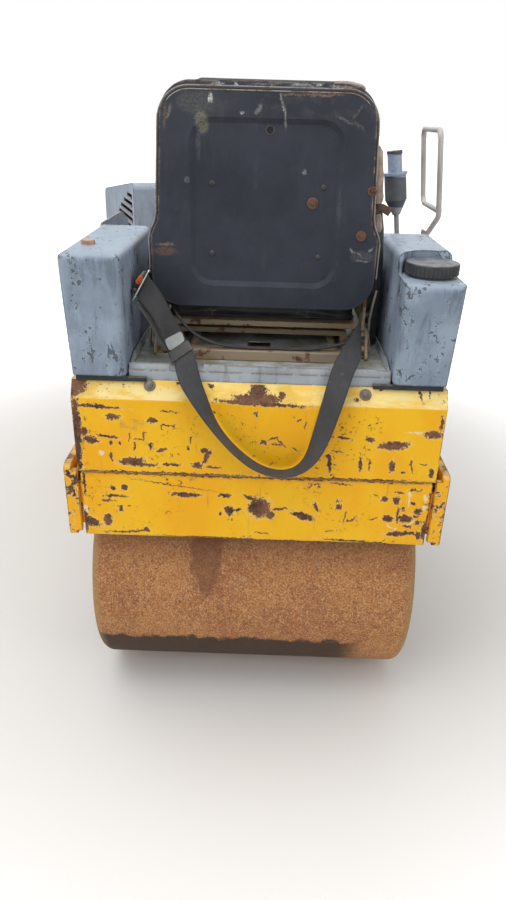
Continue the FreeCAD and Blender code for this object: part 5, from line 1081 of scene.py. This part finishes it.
WEB = 48.0
STRAP = [
    {"middle": (-252.5, -212.5, 1083.2), "across": (-0.50, 0.0, -0.866)},
    {"middle": (-248.6, -212.5, 1081.2), "across": (-0.50, 0.0, -0.866)},
    {"middle": (-243.6, -220.5, 1078.4), "across": (-0.51, -0.08, -0.86)},
    {"middle": (-235.5, -231, 1072), "across": (-0.57, -0.42, -0.71)},
    {"middle": (-221, -240, 1057), "across": (-0.60, -0.64, -0.48)},
    {"middle": (-207, -245, 1037), "across": (-0.56, -0.76, -0.33)},
    {"middle": (-196, -244, 1012), "across": (-0.60, -0.74, -0.31)},
    {"middle": (-186, -238, 987), "across": (-0.72, -0.45, -0.53)},
]
LOOP = [
    {"middle": (-155, -279, 942), "across": (-0.91, -0.22, -0.35)},
    {"middle": (-147, -303, 923), "across": (-0.90, -0.38, -0.20)},
    {"middle": (-137, -320, 904), "across": (-0.79, -0.60, -0.11)},
    {"middle": (-123, -333, 884), "across": (-0.60, -0.79, -0.08)},
    {"middle": (-109, -342, 860), "across": (-0.39, -0.92, -0.08)},
    {"middle": (-90, -344, 827), "across": (-0.15, -0.99, -0.02)},
    {"middle": (-67, -344, 795), "across": (-0.05, -1.00, 0.00)},
    {"middle": (-40, -344, 766), "across": (-0.03, -1.00, 0.00)},
    {"middle": (-10, -344, 741), "across": (-0.02, -1.00, 0.02)},
    {"middle": (20, -344, 726), "across": (0.01, -0.99, 0.10)},
    {"middle": (50, -344, 721), "across": (0.00, -0.99, 0.14)},
    {"middle": (78, -344, 725), "across": (0.00, -0.99, 0.08)},
    {"middle": (101, -343, 741), "across": (0.14, -0.99, -0.07)},
    {"middle": (118, -341, 767), "across": (0.44, -0.89, -0.16)},
    {"middle": (130, -339, 802), "across": (0.66, -0.74, -0.16)},
    {"middle": (141, -335, 842), "across": (0.76, -0.64, -0.13)},
    {"middle": (151, -329, 881), "across": (0.84, -0.53, -0.12)},
    {"middle": (160, -318, 913), "across": (0.90, -0.42, -0.10)},
    {"middle": (169, -301, 940), "across": (0.92, -0.34, -0.18)},
    {"middle": (181, -280, 958), "across": (0.80, -0.36, -0.48)},
    {"middle": (193, -256, 969), "across": (0.52, -0.36, -0.78)},
    {"middle": (203, -231, 983), "across": (0.24, -0.33, -0.91)},
    {"middle": (211, -204, 995), "across": (0.08, -0.35, -0.93)},
    {"middle": (216, -178, 1003), "across": (0.02, -0.25, -0.97)},
    {"middle": (218, -152, 1006), "across": (0.00, -0.12, -0.99)},
]
ADJUSTER = Vector((-168, -250, 955))
ADJUSTER_WAY = Vector((0.50, -0.58, -0.64)).normalized()
ADJUSTER_ACROSS = Vector((-0.774, -0.098, -0.626))


def sleeve_place(distance):
    """The strap in the adjuster, at a distance from its middle."""
    face = ADJUSTER_WAY.cross(ADJUSTER_ACROSS).normalized()
    return ADJUSTER + ADJUSTER_WAY * distance, face.cross(ADJUSTER_WAY), face


def strap_run(rows, before, after):
    """The strap's stations at the rows of a table: middle, way across and face."""
    middles = [before] + [Vector(row["middle"]) for row in rows] + [after]
    places = []
    for index, row in enumerate(rows):
        along = middles[index + 2] - middles[index]
        face = along.cross(Vector(row["across"])).normalized()
        places.append((middles[index + 1], face.cross(along).normalized(), face))
    return places


def webbing(name, places, width, thick, lift, finish, replaced):
    """A flat strap through its stations, woven on a map of its own in metres."""
    bm = bmesh.new()
    own_map = bm.loops.layers.uv.new("UVMap")
    bmesh.ops.create_grid(bm, x_segments=4, y_segments=len(places) - 1, size=1)
    run = [0.0]
    for before, after in zip(places, places[1:]):
        run.append(run[-1] + (after[0] - before[0]).length)
    spots = {}
    for vertex in bm.verts:
        share = vertex.co.x
        index = round((vertex.co.y + 1) / 2 * (len(places) - 1))
        spots[vertex.index] = (share * width / 2 * MM, run[index] * MM)
        middle, across, face = places[index]
        crown = lift + 0.5 * (1 - share * share)
        vertex.co = middle + across * (share * width / 2) + face * crown
    for face in bm.faces:
        for loop in face.loops:
            loop[own_map].uv = spots[loop.vert.index]
    piece = stand(name, bm, "rear_frame", finish, sharp=80)
    wall = piece.modifiers.new("wall", "SOLIDIFY")
    wall.thickness = thick * MM
    wall.offset = 0.0
    finer = piece.modifiers.new("finer", "SUBSURF")
    finer.levels = finer.render_levels = 2
    for node in replaced:
        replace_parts(piece, node)
    return piece


def slotted_plate():
    """The belt's tongue: a plate with the strap's slot through it."""
    across, deep = (-39, -25, 25, 39), (-13, -9, -2, 13)
    bm = bmesh.new()
    spots = [[bm.verts.new((x, y, -1.2)) for x in across] for y in deep]
    for row in range(3):
        for column in range(3):
            if (row, column) != (1, 1):
                bm.faces.new((spots[row][column], spots[row][column + 1], spots[row + 1][column + 1], spots[row + 1][column]))
    corners = [spots[row][column] for row in (0, 3) for column in (0, 3)]
    bmesh.ops.bevel(bm, geom=corners, offset=5, segments=5, profile=0.5, affect="VERTICES", material=-1)
    made = bmesh.ops.extrude_face_region(bm, geom=bm.faces[:])
    bmesh.ops.translate(bm, vec=(0, 0, 2.4), verts=[v for v in made["geom"] if isinstance(v, bmesh.types.BMVert)])
    bmesh.ops.recalc_face_normals(bm, faces=bm.faces)
    soft_edges(bm, 0.5)
    return bm


def lofted(sections, power=4.0, steps=28):
    """A closed form through sections of (height, half width, half thickness), each a soft oblong."""
    bm = bmesh.new()
    rings = []
    for height, half_width, half_thick in sections:
        ring = []
        for index in range(steps):
            turn = math.tau * index / steps
            c, s = math.cos(turn), math.sin(turn)
            ring.append(bm.verts.new((math.copysign(abs(c) ** (2 / power), c) * half_width,
                                      math.copysign(abs(s) ** (2 / power), s) * half_thick, height)))
        rings.append(ring)
    for low, high in zip(rings, rings[1:]):
        for index in range(steps):
            after = (index + 1) % steps
            bm.faces.new((low[index], low[after], high[after], high[index]))
    bm.faces.new(rings[0])
    bm.faces.new(rings[-1])
    bmesh.ops.recalc_face_normals(bm, faces=bm.faces)
    return bm


TONGUE = Vector((-252, -205, 1083))
TONGUE_WAY = Vector((-0.50, 0, -0.866)).normalized()
TONGUE_FACE = Vector((0.866, 0, -0.50)).normalized()


def make_buckle():
    """The bright tongue in its black case, the case's button, the knob below it and the stalk."""
    flat = facing_way(TONGUE, TONGUE_FACE, TONGUE_WAY)
    tongue = many("belt_tongue", [(slotted_plate(), flat)], "rear_frame", tongue_steel)
    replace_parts(tongue, "belt_buckle")
    case_set = facing_way(TONGUE + Vector((-8.4, 3, 1.0)), (0, 1, 0), TONGUE_WAY)
    case = lofted([(0, 13.8, 6), (1.5, 15, 6.9), (4, 15.5, 7.2), (40, 15.5, 7.2), (56, 15, 7), (66, 14, 6), (70, 12, 5)])
    many("belt_buckle_case", [(case, case_set)], "rear_frame", plastic)
    button = lofted([(-3.2, 8.2, 4.6), (-1.8, 9.4, 5.8), (0.8, 9.4, 5.8)], 3.4)
    button_set = facing_way(TONGUE + Vector((-4.9, 3.4, 8.5)), (0, 1, 0), TONGUE_WAY)
    many("belt_buckle_button", [(button, button_set)], "rear_frame", button_red)
    knob = turned([(0.01, -7), (4.6, -6), (5.6, -3), (5.6, 5), (4.4, 8), (0.01, 8.6)], 20)
    many("belt_buckle_knob", [(knob, facing_way((-266.5, -206, 1070), (0, -1, 0)))], "rear_frame", plastic)
    stalk = bmesh.new()
    outline = [stalk.verts.new((-243, y, z)) for y, z in ((-136.5, 1103), (-114, 1103), (-94, 1013), (-120, 1013))]
    stalk.faces.new(outline)
    made = bmesh.ops.extrude_face_region(stalk, geom=stalk.faces[:])
    bmesh.ops.translate(stalk, vec=(14, 0, 0), verts=[v for v in made["geom"] if isinstance(v, bmesh.types.BMVert)])
    bmesh.ops.recalc_face_normals(stalk, faces=stalk.faces)
    soft_edges(stalk, 4, 3)
    many("belt_buckle_stalk", [(stalk, Matrix.Identity(4))], "rear_frame", plastic)


def make_belt():
    """The strap's two plies, the slack loop, the adjuster and the bare tag by it."""
    middle, across, face = sleeve_place(0)
    slider = lofted([(-12, 25, 3.2), (-10.5, 26.4, 4.4), (0, 26.8, 4.9), (10.5, 26.4, 4.4), (12, 25, 3.2)], 5.0)
    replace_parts(many("belt_slider", [(slider, facing_way(middle, ADJUSTER_WAY, across))], "rear_frame", slider_black), "belt_adjuster")
    sleeve_in = [sleeve_place(-14), sleeve_place(-7), sleeve_place(0)]
    upper = strap_run(STRAP, Vector(STRAP[0]["middle"]), ADJUSTER)
    webbing("belt_upper_strap", upper + sleeve_in, WEB, 1.6, 0.0, webbing_grey, ["belt_strap"])
    under = [(middle + Vector((-11, 6, -9)), across, face) for middle, across, face in upper[3:]]
    webbing("belt_under_ply", under + [(middle + Vector((-2, 3, -2)), across, face) for middle, across, face in sleeve_in[:1]],
            WEB, 1.6, 0.0, webbing_pale, [])
    slack = strap_run(LOOP, ADJUSTER, Vector(LOOP[-1]["middle"]))
    webbing("belt_slack_loop", [sleeve_place(0), sleeve_place(7), sleeve_place(14)] + slack, WEB, 1.6, 0.0, webbing_grey, ["belt_loop"])
    last, inside = upper[-1], sleeve_place(-13)
    half_way = tuple((first + second) / 2 for first, second in zip(last, inside))
    webbing("belt_tag", [last, half_way, inside], WEB - 6, 0.8, -2.6, tag_grey, [])


make_buckle()
make_belt()


# Round the seat: hinge bars, dark side covers that also stand in for the shade by the tanks, torn foam, the tray's lip


def strip_along(points, wide, thick, across):
    """A flat bar bent along points, its edges softly broken."""
    bm = bmesh.new()
    sections = []
    for index, point in enumerate(points):
        before, after = points[max(index - 1, 0)], points[min(index + 1, len(points) - 1)]
        along = (Vector(after) - Vector(before)).normalized()
        side = Vector(across)
        face = along.cross(side).normalized()
        corners = ((-1, -1), (1, -1), (1, 1), (-1, 1))
        sections.append([bm.verts.new(Vector(point) + side * (wide / 2 * i) + face * (thick / 2 * j)) for i, j in corners])
    for low, high in zip(sections, sections[1:]):
        for index in range(4):
            after = (index + 1) % 4
            bm.faces.new((low[index], low[after], high[after], high[index]))
    bm.faces.new(sections[0])
    bm.faces.new(sections[-1])
    bmesh.ops.recalc_face_normals(bm, faces=bm.faces)
    soft_edges(bm, min(wide, thick) * 0.22, 2)
    return bm


def torn_lump(points, radius, seed):
    """Foam that bulges out of a split cover, along points with a radius at each."""
    bm = bmesh.new()
    rings = []
    for index, (point, reach) in enumerate(zip(points, radius)):
        before, after = points[max(index - 1, 0)], points[min(index + 1, len(points) - 1)]
        setting = facing_way(point, Vector(after) - Vector(before), (0, 1, 0.01))
        ring = []
        for turn in range(14):
            angle = math.tau * turn / 14
            wobble = 1 + 0.14 * math.sin(3.7 * turn + 2.3 * index + seed) + 0.08 * math.sin(7.1 * turn + seed)
            ring.append(bm.verts.new(setting @ Vector((math.cos(angle) * reach[0] * wobble, math.sin(angle) * reach[1] * wobble, 0))))
        rings.append(ring)
    for low, high in zip(rings, rings[1:]):
        for index in range(14):
            after = (index + 1) % 14
            bm.faces.new((low[index], low[after], high[after], high[index]))
    bm.faces.new(rings[0])
    bm.faces.new(rings[-1])
    bmesh.ops.recalc_face_normals(bm, faces=bm.faces)
    bmesh.ops.subdivide_edges(bm, edges=bm.edges[:], cuts=1, use_grid_fill=True, smooth=0.6)
    return bm


def bead_along(points, radius, steps=8):
    """A round bead along points."""
    bm = bmesh.new()
    rings = []
    for index, point in enumerate(points):
        before, after = points[max(index - 1, 0)], points[min(index + 1, len(points) - 1)]
        setting = facing_way(point, Vector(after) - Vector(before), (0, 1, 0))
        turns = [math.tau * turn / steps for turn in range(steps)]
        rings.append([bm.verts.new(setting @ Vector((math.cos(turn) * radius, math.sin(turn) * radius, 0))) for turn in turns])
    for low, high in zip(rings, rings[1:]):
        for index in range(steps):
            after = (index + 1) % steps
            bm.faces.new((low[index], low[after], high[after], high[index]))
    bm.faces.new(rings[0])
    bm.faces.new(rings[-1])
    bmesh.ops.recalc_face_normals(bm, faces=bm.faces)
    return bm


def back_outline(spread, foot=1100, top=1449, corner=58, reach=152):
    """The pressed rim of the seat back, spread outwards, from its right foot over the top to its left."""
    side = [(235, foot), (235, 1170), (231, 1187), (222, 1206), (218.4, 1224), (214.4, 1310)]
    half = [(x + spread, -163.6, z) for x, z in side]
    for step_up in range(10):
        turn = math.pi / 2 * step_up / 9
        half.append((reach + (corner + spread) * math.cos(turn), -163.6 - 3.6 * math.sin(turn), top - corner + (corner + spread) * math.sin(turn)))
    return half + [(-x, y, z) for x, y, z in reversed(half)]


def make_seat_details():
    """What shows round the seat beside its main pieces."""
    here = Matrix.Identity(4)
    many("back_shell_rim", [(bead_along(back_outline(-1.4), 1.2), here)], "rear_frame", rim_steel)
    # A black bead just outside the shell's rim, between the shell and the piping.
    many("back_rim_black_line", [(bead_along(back_outline(1.8), 1.9), here)], "rear_frame", cable_black)
    many("back_piping", [(bead_along(back_outline(4.9), 1.3), here)], "rear_frame", piping_grey)
    bar = [(251, -110, 1066), (246, -110, 1035), (242, -110, 1002), (242, -110, 965), (247, -110, 945), (251, -110, 922), (250, -110, 898)]
    bars = [(strip_along(bar, 16, 5, (0, 1, 0)), here)]
    bars.append((strip_along([(-249, -128, 972), (-252, -128, 940), (-247, -128, 905)], 16, 5, (0, 1, 0)), here))
    many("seat_hinge_bars", bars, "rear_frame", hinge_steel)
    barrel = [(0.01, 0), (7.5, 0), (8.5, 1), (8.5, 12), (7.5, 13), (0.01, 13)]
    knuckles = [(turned(barrel, 20), facing_way((229, -110, z), (1, 0, 0))) for z in (1008, 984, 960, 934)]
    knuckles += [(turned(barrel, 20), facing_way((-229, -128, z), (-1, 0, 0))) for z in (965, 938)]
    many("seat_hinge_knuckles", knuckles, "rear_frame", dark_steel)
    # Dark side covers of the seat, also standing in for the shade in the gaps between the seat and the tanks.
    covers = [(plate_shape(150, 150, 19, 26, 4), facing_way((-229.3, -12, 1045), (-1, 0, 0), (0, 1, 0))),
              (plate_shape(170, 190, 37, 26, 5), facing_way((229.3, 0, 1020), (1, 0, 0), (0, 1, 0)))]
    many("seat_side_shade_covers", covers, "rear_frame", plastic)
    strip = [(219, -130, 1356), (223, -128, 1330), (227, -126, 1300), (231, -124, 1272), (235, -122, 1248)]
    reach = [(5, 7), (9, 11), (10, 12), (9, 11), (6, 8)]
    lower = [(235, -122, 1226), (238, -122, 1208), (240, -122, 1190)]
    rolls = []
    top = [(112, -128, 1459), (128, -128, 1463), (150, -127, 1464), (172, -128, 1461), (186, -128, 1455)]
    many("back_torn_foam", [
        (torn_lump(strip, reach, 1), here),
        (torn_lump(lower, [(5, 7), (7, 9), (4, 6)], 2), here),
        (torn_lump(top, [(5, 3), (9, 4.5), (9, 5), (8, 4.5), (5, 3)], 3), here),
    ], "rear_frame", foam)
    rolls.append((torn_lump([(226, -112, 1246), (232, -112, 1225), (238, -112, 1160), (240, -110, 1095), (236, -106, 1050)],
                            [(4, 6), (8, 14), (9, 17), (10, 18), (6, 9)], 0), here))
    rolls.append((torn_lump([(-225, -112, 1196), (-230, -112, 1170), (-233, -112, 1110), (-228, -106, 1055)],
                            [(3, 6), (7, 14), (9, 17), (5, 9)], 0), here))
    many("back_side_rolls", rolls, "rear_frame", vinyl)
    gusset = strip_along([(226, -118, 1243), (246, -118, 1238), (262, -118, 1229)], 3, 16, (0, 1, 0))
    many("back_gusset", [(gusset, here)], "rear_frame", rusted)
    lips = [strip_along([(start, -286.4, 933), (end, -286.4, 933)], 16, 3, (0, 0, 1)) for start, end in ((-271, -186), (-116, 271))]
    many("tray_rear_lip", [(lip, here) for lip in lips], "rear_frame", lip_grey)
    ends = [(plate_shape(41, 12, 9, 2, 1.2), facing_way((side * 255.5, -295, 904), (0, 0, 1), (1, 0, 0))) for side in (-1, 1)]
    many("tray_rubber_ends", ends, "rear_frame", rubber)


make_seat_details()


# Controls and the footwell


def make_controls():
    """The dial, key and lamps on the console's slope."""
    way = Vector((0, -30, 92))
    dial = turned([(0.01, 0), (27, 0), (27, 5), (25.5, 6.5), (23, 6.5), (22, 3), (0.01, 3)], 40)
    many("console_dial_case", [(dial, facing_way((-30, 585, 962), way, (1, 0, 0)))], "rear_frame", plastic)
    needle = plate_shape(15, 1.6, 0.6, 0.4, 0.15)
    needle_set = facing_way((-30, 585, 962), way, (1, 0, 0)) @ Matrix.Rotation(0.7, 4, "Z") @ Matrix.Translation((5, 0, 3.2))
    face = turned([(0.01, 3.0), (21.5, 3.0), (21.5, 3.2), (0.01, 3.2)], 36)
    many("console_dial_face", [(face, facing_way((-30, 585, 962), way, (1, 0, 0)))], "rear_frame", tag_plastic)
    many("console_dial_needle", [(needle, needle_set)], "rear_frame", button_red)
    lock = turned([(0.01, 0), (13, 0), (13, 3), (10, 5), (0.01, 5)], 28)
    key = plate_shape(4, 22, 16, 1.5, 0.5)
    many("console_key", [(lock, facing_way((32, 577, 959), way, (1, 0, 0))), (key, facing_way((32, 577, 963), way, (1, 0, 0)))],
         "rear_frame", bolt_steel)
    lamp = [(0.01, 0), (7, 0), (7, 2), (5.5, 4), (3, 5), (0.01, 5.4)]
    lamps = [(turned(lamp, 20), facing_way((x, 604, 968.5), way, (1, 0, 0))) for x in (14, 34, 54)]
    many("console_lamps", lamps, "rear_frame", button_red)


def make_tread():
    """The floor plate's raised lugs, in crossed pairs."""
    shapes = []
    for row in range(12):
        for column in range(24):
            x, y = -368 + column * 32, 214 + row * 32
            if abs(x) < 92 and y > 480:
                continue
            lug = bmesh.new()
            outline = [lug.verts.new((a, b, 0)) for a, b in ((-11, 0), (0, -3), (11, 0), (0, 3))]
            top = [lug.verts.new((a, b, 1.3)) for a, b in ((-7.5, 0), (0, -1.6), (7.5, 0), (0, 1.6))]
            lug.faces.new(top)
            for index in range(4):
                after = (index + 1) % 4
                lug.faces.new((outline[index], outline[after], top[after], top[index]))
            turn = math.radians(45 if (row + column) % 2 else -45)
            shapes.append((lug, Matrix.Translation((x, y, FLOOR_TOP)) @ Matrix.Rotation(turn, 4, "Z")))
    many("floor_tread", shapes, "rear_frame", floor_grey)


FLOOR_TOP = 606.0
make_controls()
make_tread()


def make_stage():
    """A plain pale floor."""
    bm = bmesh.new()
    bmesh.ops.create_circle(bm, cap_ends=True, segments=96, radius=60.0)
    data = bpy.data.meshes.new("floor")
    bm.to_mesh(data)
    bm.free()
    data.materials.append(floor_paper("pale floor"))
    floor = bpy.data.objects.new("floor", data)
    bpy.context.collection.objects.link(floor)


def make_daylight():
    """Plain soft studio light with a white surround."""
    world = bpy.data.worlds.new("studio")
    bpy.context.scene.world = world
    world.use_nodes = True
    tree = world.node_tree
    tree.nodes.clear()
    path = add(tree, "LightPath").outputs
    seen = sums(tree, "MAXIMUM", sums(tree, "MAXIMUM", path["Is Camera Ray"], path["Is Glossy Ray"]), path["Is Transmission Ray"])
    surround = add(tree, "Background", Color=(1.0, 1.0, 1.0), Strength=between(tree, seen, 0.50, 1.0))
    out = tree.nodes.new("ShaderNodeOutputWorld")
    tree.links.new(surround.outputs[0], out.inputs["Surface"])
    centre = Vector((0, 0, 0.6))
    make_softbox("overhead", (-1.2, -1.0, 4.6), centre, 4.5, 115)
    make_softbox("behind_left", (-3.2, -3.6, 2.6), centre, 2.6, 45)
    make_softbox("behind_right", (3.4, -3.2, 2.4), centre, 2.6, 34)
    make_softbox("ahead", (1.0, 4.6, 3.0), centre, 3.0, 45)


make_stage()
make_daylight()
bpy.context.scene.view_settings.view_transform = "Standard"
